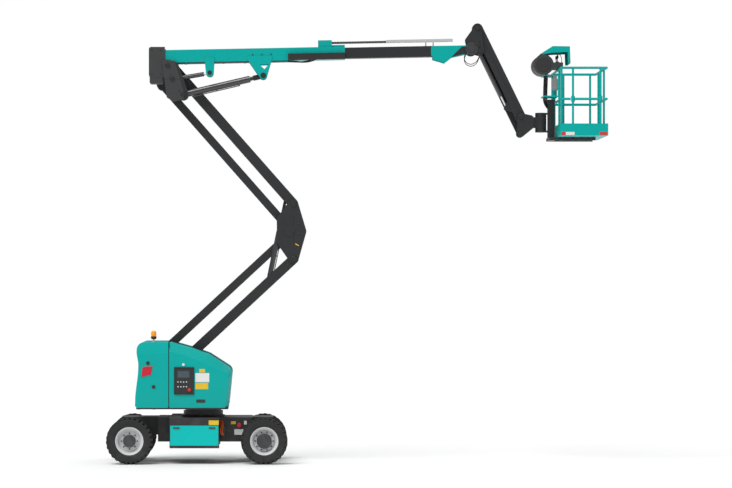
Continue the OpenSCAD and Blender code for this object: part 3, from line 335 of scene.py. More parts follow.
add_piece("chassis stop button", bm, STOP_RED, "chassis")
bm = bmesh.new()
stub(bm, STOP_X, STOP_Z, SIDE_Y - 0.014, SIDE_Y, 0.044, 24, 0.004)
block(bm, (RIGHT_X + 0.035, SIDE_Y - 0.05, 0.40), (RIGHT_X + 0.10, SIDE_Y, 0.60), 0.006)
for x in (0.05, 0.32, 0.44):
    for z in (0.40, 0.69):
        stub(bm, RIGHT_X + x, z, SIDE_Y - 0.012, SIDE_Y, 0.013, 6)
add_piece("chassis fittings", bm, BLACK, "chassis")
LEAD_ROUTE = ((0.02, 0.012, 0.70), (0.03, -0.05, 0.61), (0.02, -0.06, 0.50), (0.055, -0.03, 0.43))
for i, drift in enumerate((0.0, 0.026)):
    hose("battery lead %d" % i, [(RIGHT_X + x + drift, SIDE_Y + y, z) for x, y, z in LEAD_ROUTE], 0.011,
         LEAD_ORANGE, "chassis")


# Battery boxes: steel bins hung on the chassis sides, with a black lid band over a bright blue-green
# drawer front. The fronts have two pull handles and a screw in each corner.
DRAWER_TEAL = painted("drawer teal", (0.0, 0.51, 0.48), 0.3, 0.05, 0.05, 0.06, gloss=0.14)
finish_nodes(BLACK, "battery_box_near", "battery_box_far")
SIDES = (("near", -1), ("far", 1))
FRONT_DEPTH = 0.012
for side, out in SIDES:
    low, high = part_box("battery_box_" + side)
    face = low.y if out < 0 else high.y
    inner = face - out * FRONT_DEPTH
    bm = bmesh.new()
    block(bm, (low.x + 0.010, min(face, inner) - 0.001, low.z + 0.040),
          (high.x - 0.010, max(face, inner) + 0.001, low.z + 0.362), 0.004)
    add_piece("battery drawer " + side, bm, DRAWER_TEAL, "chassis")
    bm = bmesh.new()
    grip_y = face + out * 0.006
    for x in (low.x + 0.11, high.x - 0.11):
        block(bm, (x - 0.05, grip_y - 0.006, low.z + 0.31), (x + 0.05, grip_y + 0.006, low.z + 0.335), 0.003)
    for x in (low.x + 0.02, high.x - 0.02):
        for z in (low.z + 0.02, high.z - 0.03):
            stub(bm, x, z, face + out * 0.004, face - out * 0.02, 0.010, 6)
    add_piece("battery handles " + side, bm, HUB_BLACK, "chassis")
    if side == "near":
        bm = bmesh.new()
        block(bm, (high.x - 0.165, face - SHEET, high.z - 0.118), (high.x - 0.006, face + 0.002, high.z - 0.045), 0.001)
        add_piece("battery plate", bm, PLATE_YELLOW, "chassis")


# Tail cover and hoods: sheet covers pressed with folds and a waist, and sprayed blue-green. The tail
# cover is fixed round the counterweight and carries red lamps; each hood swings on hinges at the dark
# seam behind it.
TEAL = painted("teal paint", (0.0, 0.385, 0.352), 0.30, 0.04, 0.12, 0.06, gloss=0.14)
finish_nodes(CHARCOAL, "counterweight")
LAMP_RED = flat_colour("lamp red", (0.56, 0.005, 0.028), 0.2)
AXIS_X = sum(v.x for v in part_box("slew_ring")) / 2
TAIL_LOW, TAIL_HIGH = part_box("tail_cover")
HOOD_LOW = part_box("hood_near")[0]


def sheet(bm, corners, y0, y1, edge=0.0):
    """A flat plate across Y; its corners are (X from the slew axis, Z)."""
    skin = bm.faces.new([bm.verts.new((AXIS_X + x, y0, z)) for x, z in corners])
    made = bmesh.ops.extrude_face_region(bm, geom=[skin])["geom"]
    verts = [v for v in made if isinstance(v, bmesh.types.BMVert)]
    for vert in verts:
        vert.co.y = y1
    faces = list({f for v in verts for f in v.link_faces} | {skin})
    bmesh.ops.recalc_face_normals(bm, faces=faces)
    if edge:
        soften(bm, list({e for f in faces for e in f.edges}), edge)


def cover_copy(node):
    """A merged copy of a cover's CAD mesh, to be pressed into shape."""
    bm = bmesh.new()
    bm.from_mesh(frame["nodes"][node].data)
    bmesh.ops.remove_doubles(bm, verts=bm.verts, dist=1e-5)
    return bm


def fold(bm, spot, away):
    """A line of edges across the sheet, through a spot and square to a direction."""
    everything = bm.verts[:] + bm.edges[:] + bm.faces[:]
    bmesh.ops.bisect_plane(bm, geom=everything, dist=1e-6, plane_co=spot, plane_no=away)


STILL_Y, LOOSE_Y = 0.30, 0.76
SHARP_FOLD = 0.2


def lean(bm, folds):
    """Tilts the side walls inwards beyond each fold.

    A fold is a spot (X from the slew axis, Z), the direction that lies beyond it, and the wall's slope there.
    """
    for (x, z), (away_x, away_z), slope in folds:
        spot, away = Vector((AXIS_X + x, 0, z)), Vector((away_x, 0, away_z)).normalized()
        fold(bm, spot, away)
        for vert in bm.verts:
            beyond = max(0.0, (vert.co - spot).dot(away))
            hold = min(1.0, max(0.0, (abs(vert.co.y) - STILL_Y) / (LOOSE_Y - STILL_Y)))
            vert.co.y -= math.copysign(beyond * slope * hold, vert.co.y)
    for face in bm.faces:
        face.smooth = True
    for edge in bm.edges:
        edge.smooth = edge.is_manifold and edge.calc_face_angle(0.0) < SHARP_FOLD


TAIL_FOLDS = (((0, 1.765), (0, 1), 0.24), ((0, 1.135), (0, -1), 0.055))
HOOD_FOLDS = (((-0.47, 1.82), (0.393, 0.919), 0.62), ((0, 1.035), (0, -1), 0.20))
WAIST = 0.034
WAIST_FOOT, WAIST_TOP = 1.05, 1.80


def eased(share):
    """A smooth step from 0 to 1."""
    share = min(1.0, max(0.0, share))
    return share ** 2 * (3 - 2 * share)


bm = cover_copy("tail_cover")
for i in range(27):
    fold(bm, Vector((0, 0, WAIST_FOOT + 0.029 * i)), Vector((0, 0, 1)))
for vert in bm.verts:
    depth = eased((vert.co.z - WAIST_FOOT) / 0.47) * eased((WAIST_TOP - vert.co.z) / 0.22)
    vert.co.x += WAIST * depth * min(1.0, (TAIL_HIGH.x - vert.co.x) / 0.45)
lean(bm, TAIL_FOLDS)
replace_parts(add_piece("tail cover", bm, TEAL, "turntable"), "tail_cover")
for name in ("hood_near", "hood_far"):
    bm = cover_copy(name)
    lean(bm, HOOD_FOLDS)
    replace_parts(add_piece(name + " skin", bm, TEAL, name), name)
for side, out in SIDES:
    face = TAIL_LOW.y if out < 0 else TAIL_HIGH.y
    seam_y = face - out * 0.012
    bm = bmesh.new()
    block(bm, (TAIL_HIGH.x + 0.002, seam_y - 0.004, TAIL_LOW.z + 0.02),
          (TAIL_HIGH.x + 0.012, seam_y + 0.004, TAIL_HIGH.z - 0.075))
    lean(bm, TAIL_FOLDS)
    # Two black discs on each side stand for the lifting holes in the cover: their black is painted shade inside the
    # holes.
    for x, z in ((-0.864, 1.615), (-0.774, 1.237)):
        stub(bm, AXIS_X + x, z, face + out * 0.008, face - out * 0.004, 0.030, 28, 0.004)
    for x in (TAIL_LOW.x + 0.06, TAIL_LOW.x + 0.30):
        foot_y = face - out * 0.10
        drum(bm, (x, foot_y, TAIL_LOW.z - 0.028), (x, foot_y, TAIL_LOW.z + 0.01), 0.024, 16)
    add_piece("tail trim " + side, bm, BLACK, "turntable")
    bm = bmesh.new()
    sheet(bm, ((-0.971, 1.391), (-0.815, 1.429), (-0.789, 1.564), (-0.948, 1.558)),
          face + out * 0.010, face - out * 0.010, 0.006)
    add_piece("tail lamp " + side, bm, LAMP_RED, "turntable")


# Hood trim: plain enamelled plates and a white knob, riveted on the near hood, and on both hoods a
# slam latch on a black plate that is painted shade of the finger recess, and two turned hinge pins.
TAG = 0.003
for side, out in SIDES:
    body = "hood_" + side
    face = HOOD_LOW.y if out < 0 else -HOOD_LOW.y
    if side == "near":
        bm = bmesh.new()
        block(bm, (AXIS_X - 0.111, face - TAG, 1.312), (AXIS_X + 0.111, face + TAG, 1.456), 0.001)
        stub(bm, AXIS_X - 0.30, 1.590, face - out * 0.004, face + out * 0.009, 0.022, 24, 0.003)
        add_piece("hood plate white", bm, PLATE_WHITE, body)
        bm = bmesh.new()
        block(bm, (AXIS_X - 0.111, face - TAG, 1.200), (AXIS_X + 0.092, face + TAG, 1.300), 0.001)
        block(bm, (AXIS_X - 0.047, face - TAG, 1.465), (AXIS_X + 0.043, face + TAG, 1.520), 0.001)
        add_piece("hood plate yellow", bm, PLATE_YELLOW, body)
    bm = bmesh.new()
    latch_y, hinge_y = face + out * 0.005, face - out * 0.006
    # A thin black plate stands for the finger recess: its black is painted shade of the recess.
    block(bm, (AXIS_X - 0.095, face - 0.004, 0.985), (AXIS_X + 0.048, face + TAG, 1.035), 0.006)
    block(bm, (AXIS_X - 0.06, latch_y - 0.004, 1.000), (AXIS_X + 0.015, latch_y + 0.004, 1.022), 0.003)
    lean(bm, HOOD_FOLDS)
    for z in (HOOD_LOW.z + 0.15, HOOD_LOW.z + 0.75):
        drum(bm, (HOOD_LOW.x - 0.004, hinge_y, z), (HOOD_LOW.x - 0.004, hinge_y, z + 0.12), 0.007, 12)
    add_piece("hood latch " + side, bm, BLACK, body)


# Ground control panel: a black moulded plate in a raised frame, screwed into the near hood, with a
# small dark display, two rows of bright toggle switches and a red stop button.
PANEL_BLACK = flat_colour("panel black", (0.018, 0.018, 0.019), 0.5)
DISPLAY = flat_colour("display glass", (0.05, 0.08, 0.10), 0.08)
finish_nodes(PANEL_BLACK, "control_panel")
PANEL_LOW, PANEL_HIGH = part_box("control_panel")
bm = bmesh.new()
block(bm, (AXIS_X - 0.444, PANEL_LOW.y - 0.0015, 1.118), (AXIS_X - 0.134, HOOD_LOW.y + 0.004, 1.546), 0.002)
for x0, x1, z0, z1 in ((-0.448, -0.130, 1.540, 1.550), (-0.448, -0.130, 1.114, 1.124),
                       (-0.448, -0.438, 1.114, 1.550), (-0.140, -0.130, 1.114, 1.550)):
    block(bm, (AXIS_X + x0, PANEL_LOW.y - 0.010, z0), (AXIS_X + x1, HOOD_LOW.y + 0.004, z1), 0.003)
add_piece("panel bezel", bm, PANEL_BLACK, "hood_near")
bm = bmesh.new()
block(bm, (AXIS_X - 0.390, PANEL_LOW.y - 0.004, 1.385), (AXIS_X - 0.205, PANEL_LOW.y + 0.004, 1.490), 0.003)
add_piece("panel display", bm, DISPLAY, "hood_near")
bm = bmesh.new()
for row in range(2):
    for i in range(4):
        x, z = PANEL_LOW.x + 0.055 + 0.045 * i, PANEL_LOW.z + 0.19 - 0.075 * row
        stub(bm, x, z, PANEL_LOW.y + 0.002, PANEL_LOW.y - 0.005, 0.011, 12)
        drum(bm, (x, PANEL_LOW.y - 0.003, z), (x, PANEL_LOW.y - 0.022, z + 0.008), 0.004, 8)
add_piece("panel switches", bm, RIM_SILVER, "hood_near")
bm = bmesh.new()
stub(bm, PANEL_HIGH.x - 0.055, PANEL_LOW.z + 0.065, PANEL_LOW.y + 0.002, PANEL_LOW.y - 0.022, 0.026, 24, 0.006)
add_piece("panel stop button", bm, STOP_RED, "hood_near")


# Beacon: an amber ribbed lens, moulded in plastic, on a black rubber foot. A bright steel stalk with a
# round flange screws it to the tail cover.
AMBER, shader, place = new_finish("amber lens")
feed(blended(noise(place, 20.0), (0.80, 0.24, 0.01, 1), (0.95, 0.36, 0.02, 1)), shader, "Base Color")
feed(0.12 + 0.1 * noise(place, 60.0), shader, "Roughness")
shader.inputs["Emission Color"].default_value = (1.0, 0.35, 0.02, 1)
shader.inputs["Emission Strength"].default_value = 0.15
LAMP_LOW, LAMP_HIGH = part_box("beacon")


def lamp_ring(bm, z0, z1, radius, sides=32, edge=0.0):
    """A round piece of the beacon, between two heights above its seat."""
    x, y = (LAMP_LOW.x + LAMP_HIGH.x) / 2, (LAMP_LOW.y + LAMP_HIGH.y) / 2
    drum(bm, (x, y, LAMP_LOW.z + z0), (x, y, LAMP_LOW.z + z1), radius, sides, edge)


bm = bmesh.new()
lamp_ring(bm, 0.085, LAMP_HIGH.z - LAMP_LOW.z, 0.042, 32, 0.026)
for i in range(4):
    lamp_ring(bm, 0.092 + 0.015 * i, 0.097 + 0.015 * i, 0.0428)
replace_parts(add_piece("beacon lens", bm, AMBER, "turntable"), "beacon")
bm = bmesh.new()
lamp_ring(bm, 0.045, 0.065, 0.040, 32, 0.004)
lamp_ring(bm, 0.062, 0.090, 0.046, 32, 0.005)
add_piece("beacon foot", bm, BLACK, "turntable")
bm = bmesh.new()
lamp_ring(bm, -0.002, 0.05, 0.014, 16)
lamp_ring(bm, 0.0, 0.006, 0.040, 24, 0.002)
add_piece("beacon stalk", bm, RIM_SILVER, "turntable")


# Riser: two pairs of parallel box arms, a bowed knuckle between them and a head on top, welded from
# plate and sprayed charcoal. Keeper discs are bolted over the ends of the pins.
ARM_GREY = painted("arm grey", (0.022, 0.023, 0.025), 0.40, 0.10, 0.15, 0.08, gloss=0.35)
finish_nodes(ARM_GREY, "lower_arm", "lower_link", "riser_knuckle", "upper_arm", "upper_link", "riser_head")
JOINT_AT = {joint["name"]: Vector(joint["pos_m"]) for joint in frame["joints"] if "pos_m" in joint}


def keeper(bm, spot, y, out, radius):
    """A pin's end disc with two small bolts."""
    stub(bm, spot.x, spot.z, y - out * 0.002, y + out * 0.010, radius, 28, 0.003)
    for dx in (-0.5, 0.5):
        stub(bm, spot.x + dx * radius, spot.z, y, y + out * 0.018, 0.009, 6)


def keepers(bm, spot, low, high, radius):
    """Keepers on both ends of a pin."""
    keeper(bm, spot, low.y, -1, radius)
    keeper(bm, spot, high.y, 1, radius)


KNUCKLE_LOW, KNUCKLE_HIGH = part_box("riser_knuckle")
ARM_PIN = 0.046
bm = bmesh.new()
for name in ("knuckle_level", "upper_arm_raise"):
    keepers(bm, JOINT_AT[name], KNUCKLE_LOW, KNUCKLE_HIGH, ARM_PIN)
add_piece("knuckle pin keepers", bm, BLACK, "riser_knuckle")
bm = bmesh.new()
middle = (JOINT_AT["knuckle_level"] + JOINT_AT["upper_arm_raise"]) / 2 - Vector((0.065, 0, 0))
for y in (KNUCKLE_LOW.y + 0.003, KNUCKLE_HIGH.y - 0.009):
    stub(bm, middle.x, middle.z, y, y + 0.006, 0.094, 40)
    for i in range(6):
        turn = math.tau * i / 6
        stub(bm, middle.x + 0.085 * math.cos(turn), middle.z + 0.085 * math.sin(turn), y - 0.002, y + 0.008, 0.006, 6)
add_piece("knuckle covers", bm, ARM_GREY, "riser_knuckle")
bm = bmesh.new()
plate_y = KNUCKLE_LOW.y + 0.008
for x, z in ((1.533, 3.695), (1.540, 3.863)):
    stub(bm, AXIS_X + x, z, plate_y - 0.004, plate_y + 0.002, 0.027, 24, 0.002)
block(bm, (AXIS_X + 1.455, plate_y - 0.005, 3.560), (AXIS_X + 1.463, plate_y + 0.002, 4.010), 0.002)
add_piece("knuckle plugs", bm, PANEL_BLACK, "riser_knuckle")
bm = bmesh.new()
sheet(bm, ((1.485, 3.522), (1.492, 3.534), (1.548, 3.500), (1.541, 3.488)), plate_y - 0.003, plate_y + 0.002, 0.001)
add_piece("knuckle tag", bm, PLATE_YELLOW, "riser_knuckle")
bm = bmesh.new()
for name in ("riser_raise", "lower_link_swing"):
    keepers(bm, JOINT_AT[name], KNUCKLE_LOW, KNUCKLE_HIGH, ARM_PIN)
add_piece("tower pin keepers", bm, BLACK, "turntable")


# Head cover: a dark moulded shroud over the hose bends behind the boom, held by button screws. A thin
# plate closes the near side of the head, with keepers over its three pins.
SHROUD = flat_colour("shroud grey", (0.034, 0.035, 0.037), 0.5)
finish_nodes(SHROUD, "head_cover")
COVER_LOW, COVER_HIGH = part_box("head_cover")
HEAD_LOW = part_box("riser_head")[0]
bm = bmesh.new()
for name in ("boom_lift", "lift_barrel_swing", "level_barrel_swing"):
    keeper(bm, JOINT_AT[name], HEAD_LOW.y, -1, 0.040)
for z in (COVER_LOW.z + 0.05, COVER_HIGH.z - 0.05):
    for x in (COVER_LOW.x + 0.05, COVER_LOW.x + 0.19):
        stub(bm, x, z, COVER_LOW.y + 0.002, COVER_LOW.y - 0.006, 0.009, 12)
block(bm, (AXIS_X - 0.630, HEAD_LOW.y - 0.001, 6.175), (AXIS_X - 0.372, HEAD_LOW.y + 0.004, 6.181))
for x, z in ((-0.539, 6.366), (-0.518, 6.225), (-0.387, 5.989)):
    stub(bm, AXIS_X + x, z, HEAD_LOW.y - 0.006, HEAD_LOW.y + 0.004, 0.013, 12)
add_piece("head keepers", bm, BLACK, "riser_head")
bm = bmesh.new()
sheet(bm, ((-0.668, 6.480), (-0.585, 5.880), (-0.475, 5.806), (-0.306, 5.852), (-0.300, 5.957), (-0.455, 6.470)),
      HEAD_LOW.y + 0.0005, HEAD_LOW.y + 0.010, 0.003)
block(bm, (COVER_LOW.x + 0.012, COVER_LOW.y, COVER_LOW.z - 0.105),
      (COVER_HIGH.x - 0.012, -0.02, COVER_LOW.z + 0.03), 0.028)
add_piece("head side plate", bm, SHROUD, "riser_head")


# Cylinders: honed tubes sprayed black with welded ends; the thin rods are hard-chromed, and the two big
# ones are chrome coloured near black, a painted dark reflection and shade. A steel oil pipe is clamped
# along each big barrel, and a ribbed rubber sleeve covers the end of the lift rod.
def rod_steel(name, dark, light, rough, spread, metal):
    """Ground and polished rod steel."""
    finish, shader, place = new_finish(name)
    feed(blended(noise(place, 30.0), (*dark, 1), (*light, 1)), shader, "Base Color")
    feed(rough + spread * noise(place, 90.0), shader, "Roughness")
    shader.inputs["Metallic"].default_value = metal
    return finish


CHROME = rod_steel("chrome rod", (0.62, 0.63, 0.65), (0.74, 0.75, 0.77), 0.10, 0.10, 1.0)
# The riser and lift rods are chrome coloured near black: a painted dark reflection and shade.
CHROME_PAINTED_DARK = rod_steel("chrome rod painted dark", (0.030, 0.030, 0.032), (0.055, 0.055, 0.058), 0.18, 0.12, 0.6)
finish_nodes(CHROME, "level_rod", "jib_rod")
finish_nodes(CHROME_PAINTED_DARK, "riser_rod", "lift_rod")
TUBE_BLACK = painted("cylinder black", (0.022, 0.022, 0.024), 0.24, 0.08, 0.1, 0.7, 0.002)
finish_nodes(TUBE_BLACK, "riser_cylinder", "lift_cylinder", "level_cylinder", "jib_cylinder")
PIPE_GREY = flat_colour("pipe grey", (0.10, 0.10, 0.105), 0.3)
SLEEVE = flat_colour("sleeve rubber", (0.012, 0.012, 0.013), 0.6)
SLIDE_WAY = {joint["name"]: Vector(joint["axis"]).normalized() for joint in frame["joints"]}
for name, radius, length in (("riser", 0.042, 0.85), ("lift", 0.0525, 1.05)):
    start, way = JOINT_AT[name + "_barrel_swing"], SLIDE_WAY[name + "_rod_slide"]
    drop = Vector((way.z, 0, -way.x))
    drop = -drop if drop.z > 0 else drop
    bm = bmesh.new()
    beside = start + drop * (radius + 0.014)
    begin, stop = beside + way * 0.16, beside + way * (length - 0.12)
    drum(bm, begin, stop, 0.008, 10)
    for share in (0.02, 0.5, 0.98):
        spot = begin.lerp(stop, share)
        drum(bm, spot, spot - drop * 0.02, 0.012, 8)
    add_piece(name + " oil pipe", bm, PIPE_GREY, name + "_barrel")
rod_low, rod_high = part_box("lift_rod")
way = SLIDE_WAY["lift_rod_slide"]
eye = Vector((rod_high.x - 0.05, (rod_low.y + rod_high.y) / 2, rod_high.z - 0.05))
bm = bmesh.new()
drum(bm, eye - way * 0.165, eye - way * 0.045, 0.041, 28, 0.004)
for i in range(5):
    drum(bm, eye - way * (0.155 - 0.022 * i), eye - way * (0.145 - 0.022 * i), 0.045, 28, 0.003)
add_piece("lift rod sleeve", bm, SLEEVE, "lift_rod")


# Main boom: a folded and welded box tube sprayed blue-green, with lugs for the cylinders and a black
# cable tray. Steel oil pipes are clipped along its top, and rubber hoses lead from them into the tray.
BOOM_GREY = painted("boom grey", (0.020, 0.021, 0.023), 0.36, 0.10, 0.1, 0.1, gloss=0.35)
finish_nodes(TEAL, "outer_boom", "boom_nose", "chain_guide")
finish_nodes(BLACK, "boom_tray")
finish_nodes(BOOM_GREY, "inner_boom")
BOOM_LOW, BOOM_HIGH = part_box("outer_boom")
BOOM_TILT = math.radians(1.1)
BOOM_Y = (BOOM_LOW.y + BOOM_HIGH.y) / 2


def boom_at(along, up, y=0.0):
    """A place on the main boom: along it from its pivot, up from the pivot, across from its middle."""
    pivot = JOINT_AT["boom_lift"]
    return Vector((pivot.x + along * math.cos(BOOM_TILT) - up * math.sin(BOOM_TILT), BOOM_Y + y,
                   pivot.z + along * math.sin(BOOM_TILT) + up * math.cos(BOOM_TILT)))


bm = bmesh.new()
for along, up, radius in ((1.542, -0.190, 0.046), (0.680, -0.128, 0.036)):
    keepers(bm, boom_at(along, up), BOOM_LOW, BOOM_HIGH, radius)
for along in (1.375, 1.525, 1.675):
    for out in (-1, 1):
        spot = boom_at(along, 0.150, out * 0.094)
        drum(bm, spot, spot + Vector((0, out * 0.008, 0)), 0.011, 6)
add_piece("boom pin keepers", bm, BLACK, "main_boom")
PIPE_UP, PIPE_Y, PIPE_END = 0.036, 0.05, 1.95
bm = bmesh.new()
for side in (-1, 1):
    drum(bm, boom_at(0.10, PIPE_UP, side * PIPE_Y), boom_at(PIPE_END, PIPE_UP, side * PIPE_Y), 0.011, 10)
    for along in (0.3, 0.9, 1.25):
        spot = boom_at(along, PIPE_UP, side * PIPE_Y)
        block(bm, spot - Vector((0.02, 0.018, 0.014)), spot + Vector((0.02, 0.018, 0.016)), 0.003)
add_piece("boom pipes", bm, PIPE_GREY, "main_boom")
NEAR_ROUTE = ((PIPE_END, PIPE_UP, -PIPE_Y), (2.05, 0.028, -0.075), (2.19, 0.012, -0.118), (2.32, 0.026, -0.128),
              (2.42, 0.066, -0.126))
FAR_ROUTE = ((PIPE_END, PIPE_UP, PIPE_Y), (2.02, 0.030, 0.02), (2.14, 0.020, -0.06), (2.26, 0.030, -0.125),
             (2.36, 0.070, -0.130))
for name, route, radius in (("boom tray hose", NEAR_ROUTE, 0.012), ("boom tray hose far", FAR_ROUTE, 0.010)):
    hose(name, [boom_at(*spot) for spot in route], radius, SLEEVE, "main_boom")


# Energy chain: black plastic links that roll over on the boom as the inner tube runs out, laid in a
# pressed aluminium tray.
LINK_GREY = flat_colour("chain grey", (0.060, 0.061, 0.064), 0.45)
ALLOY = flat_colour("tray alloy", (0.52, 0.53, 0.54), 0.35)
finish_nodes(LINK_GREY, "chain_run", "chain_loop")
finish_nodes(ALLOY, "chain_tray")
RUN_LOW, RUN_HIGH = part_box("chain_run")
bm = bmesh.new()
span = RUN_HIGH - RUN_LOW
links = max(6, int(span.x / 0.045))
for i in range(links):
    x = RUN_LOW.x + span.x * (i + 0.5) / links
    slope = span.x * math.sin(BOOM_TILT) / links * (i + 0.5)
    block(bm, (x - 0.017, RUN_LOW.y - 0.002, RUN_LOW.z + slope - 0.001),
          (x + 0.017, RUN_HIGH.y + 0.002, RUN_LOW.z + slope + 0.033), 0.003)
add_piece("chain links", bm, LINK_GREY, "inner_boom")


# Nose gussets: two flat plates that are welded to the sides of the boom's nose and reach below it,
# sprayed with the boom, and behind the pin a pair of dark plates over them that are painted shade.
NOSE_LOW, NOSE_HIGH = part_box("boom_nose")
GUSSET = ((3.702, 6.498), (3.896, 6.440), (4.125, 6.620), (4.125, 6.716), (3.715, 6.708))
# The dark plates behind the nose pin are painted shade.
NOSE_SHADE_PLATE = ((4.000, 6.533), (4.240, 6.591), (4.240, 6.704), (4.175, 6.704))
for name, corners, proud, finish, slot in (("nose gussets", GUSSET, 0.0012, TEAL, "teal_paint"),
                                           ("nose doublers", NOSE_SHADE_PLATE, 0.0022, ARM_GREY, "charcoal_paint")):
    bm = bmesh.new()
    for face, out in ((NOSE_LOW.y, -1), (NOSE_HIGH.y, 1)):
        sheet(bm, corners, face - out * 0.004, face + out * proud, 0.001)
    add_piece(name, bm, finish, "inner_boom")


# Jib: a box arm over one levelling link, with its cylinder hung under the arm, charcoal plate and box
# tube. The boom's nose pin ends in a wide bolted disc.
finish_nodes(ARM_GREY, "jib_knuckle", "jib_arm", "jib_link", "platform_bracket", "platform_support")
JIB_LOW, JIB_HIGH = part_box("jib_knuckle")
bm = bmesh.new()
for name, radius in (("jib_raise", 0.036), ("jib_link_swing", 0.036), ("jib_barrel_swing", 0.030)):
    keepers(bm, JOINT_AT[name], JIB_LOW, JIB_HIGH, radius)
add_piece("jib pin keepers", bm, BLACK, "jib_knuckle")
bm = bmesh.new()
nose = JOINT_AT["jib_knuckle_level"]
DISC_BOLTS, BOLT_RING = 6, 0.080
for face, out in ((JIB_LOW.y, -1), (JIB_HIGH.y, 1)):
    stub(bm, nose.x, nose.z, face - out * 0.009, face + out * 0.004, 0.104, 48, 0.004)
    stub(bm, nose.x, nose.z, face, face + out * 0.012, 0.052, 32, 0.004)
    for i in range(DISC_BOLTS):
        turn = math.tau * i / DISC_BOLTS
        stub(bm, nose.x + BOLT_RING * math.cos(turn), nose.z + BOLT_RING * math.sin(turn), face, face + out * 0.012,
             0.010, 6)
add_piece("nose pin discs", bm, SHROUD, "jib_knuckle")
foot = JOINT_AT["jib_barrel_swing"]
LOOP_Y = JIB_LOW.y + 0.0245
for i, sag in enumerate((0.0, 0.032)):
    loop = ((-0.04, 0.0), (-0.10, -0.075 - sag), (-0.115, -0.17 - sag), (-0.05, -0.24 - sag), (0.05, -0.225 - sag),
            (0.115, -0.135 - sag / 2))
    route = [(nose.x + x, LOOP_Y, nose.z + z) for x, z in loop] + [(foot.x, LOOP_Y, foot.z)]
    hose("nose hose %d" % i, route, 0.006, SLEEVE, "jib_knuckle")
bracket_pin = JOINT_AT["bracket_level"]
bracket_low, bracket_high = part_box("platform_bracket")
bm = bmesh.new()
for drop in (0.0, 0.267):
    keepers(bm, bracket_pin - Vector((0, 0, drop)), bracket_low, bracket_high, 0.036)
add_piece("bracket pin keepers", bm, BLACK, "platform_bracket")
# Dark strips on the near side of the jib arm are painted shade: thin sheets that stand for the shade in its grooves.
GROOVE_SHADE_HALF = 0.006
GROOVE_SHADE_LINES = (((4.560, 6.735), (4.940, 5.960)), ((4.470, 6.760), (4.500, 6.700)), ((4.975, 5.900), (5.090, 5.665)))
bm = bmesh.new()
groove_shade_y = BOOM_Y - 0.070
for start, end in GROOVE_SHADE_LINES:
    start, end = Vector(start), Vector(end)
    run = (end - start).normalized() * GROOVE_SHADE_HALF
    side = Vector((-run.y, run.x))
    sheet(bm, (start + side, start - side, end - side, end + side), groove_shade_y - 0.004, groove_shade_y + 0.002, 0.001)
add_piece("jib arm groove shade", bm, SLEEVE, "jib_arm")


# Platform: a tubular cage in blue-green with a sheet toe board, hung on a turning column. Red and
# white blank reflector strips are stuck along the toe board.
finish_nodes(TEAL, "platform_floor", "rails_near", "rails_far", "rails_front", "rails_rear", "platform_gate",
             "console_guard")
FLOOR_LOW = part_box("platform_floor")[0]
STRIPE_RED = flat_colour("stripe red", (0.60, 0.03, 0.03), 0.35)
for label, finish, spans in (("red", STRIPE_RED, ((0.02, 0.09), (0.63, 0.75))),
                             ("white", PLATE_WHITE, ((0.09, 0.23),))):
    bm = bmesh.new()
    for start, end in spans:
        block(bm, FLOOR_LOW + Vector((start, -0.002, 0.006)), FLOOR_LOW + Vector((end, 0.002, 0.055)), 0.0008)
    add_piece("stripe " + label, bm, finish, "platform")


# Platform console: a dark moulded box with a round back, two joysticks and a red stop button. It hangs
# on a tube bracket behind the cage under a sheet guard with side cheeks; its cables drop to the column.
finish_nodes(SHROUD, "console")
DESK_LOW, DESK_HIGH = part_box("console")
desk_z = DESK_LOW.z + 0.197
bm = bmesh.new()
for share in (0.3, 0.7):
    spot = Vector((DESK_HIGH.x - 0.075, DESK_LOW.y + (DESK_HIGH.y - DESK_LOW.y) * share, desk_z))
    drum(bm, spot - Vector((0, 0, 0.002)), spot + Vector((0, 0, 0.022)), 0.030, 20, 0.006)
    drum(bm, spot, spot + Vector((0, 0, 0.085)), 0.007, 10)
    drum(bm, spot + Vector((0, 0, 0.075)), spot + Vector((0, 0, 0.125)), 0.016, 16, 0.006)
for face, out in ((DESK_LOW.y, -1), (DESK_HIGH.y, 1)):
    stub(bm, AXIS_X + 5.464, 6.389, face - out * 0.002, face + out * 0.006, 0.120, 48, 0.004)
add_piece("joysticks", bm, PANEL_BLACK, "platform")
bm = bmesh.new()
spot = Vector((DESK_HIGH.x - 0.075, (DESK_LOW.y + DESK_HIGH.y) / 2, desk_z))
drum(bm, spot - Vector((0, 0, 0.002)), spot + Vector((0, 0, 0.030)), 0.022, 24, 0.006)
add_piece("console stop button", bm, STOP_RED, "platform")
bm = bmesh.new()
for y in (DESK_LOW.y - 0.004, DESK_HIGH.y - 0.002):
    sheet(bm, ((5.418, 6.562), (5.610, 6.684), (5.622, 6.580), (5.466, 6.556)), y, y + 0.006)
    sheet(bm, ((5.610, 6.684), (5.880, 6.680), (5.892, 6.410), (5.856, 6.410), (5.850, 6.590), (5.6225, 6.580)),
          y, y + 0.006)
add_piece("guard cheeks", bm, TEAL, "platform")
REAR_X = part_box("rails_rear")[0].x
POST_X, BACK_X = REAR_X + 0.012, AXIS_X + 5.47
near, far = DESK_LOW.y + 0.06, DESK_HIGH.y - 0.06
bm = bmesh.new()
for z in (6.222, 5.885):
    for y in (near, far):
        drum(bm, (POST_X, y, z), (BACK_X, y, z), 0.012, 14)
    stub(bm, BACK_X, z, near - 0.012, far + 0.012, 0.0125, 14)
for y in (near, far):
    drum(bm, (POST_X, y, 5.877), (POST_X, y, 6.230), 0.0125, 14)
add_piece("console bracket", bm, TEAL, "platform")
POUCH_GREY = flat_colour("pouch grey", (0.22, 0.225, 0.23), 0.5)
bm = bmesh.new()
block(bm, (AXIS_X + 5.597, DESK_LOW.y + 0.030, 5.982), (AXIS_X + 5.700, DESK_LOW.y + 0.072, 6.161), 0.008)
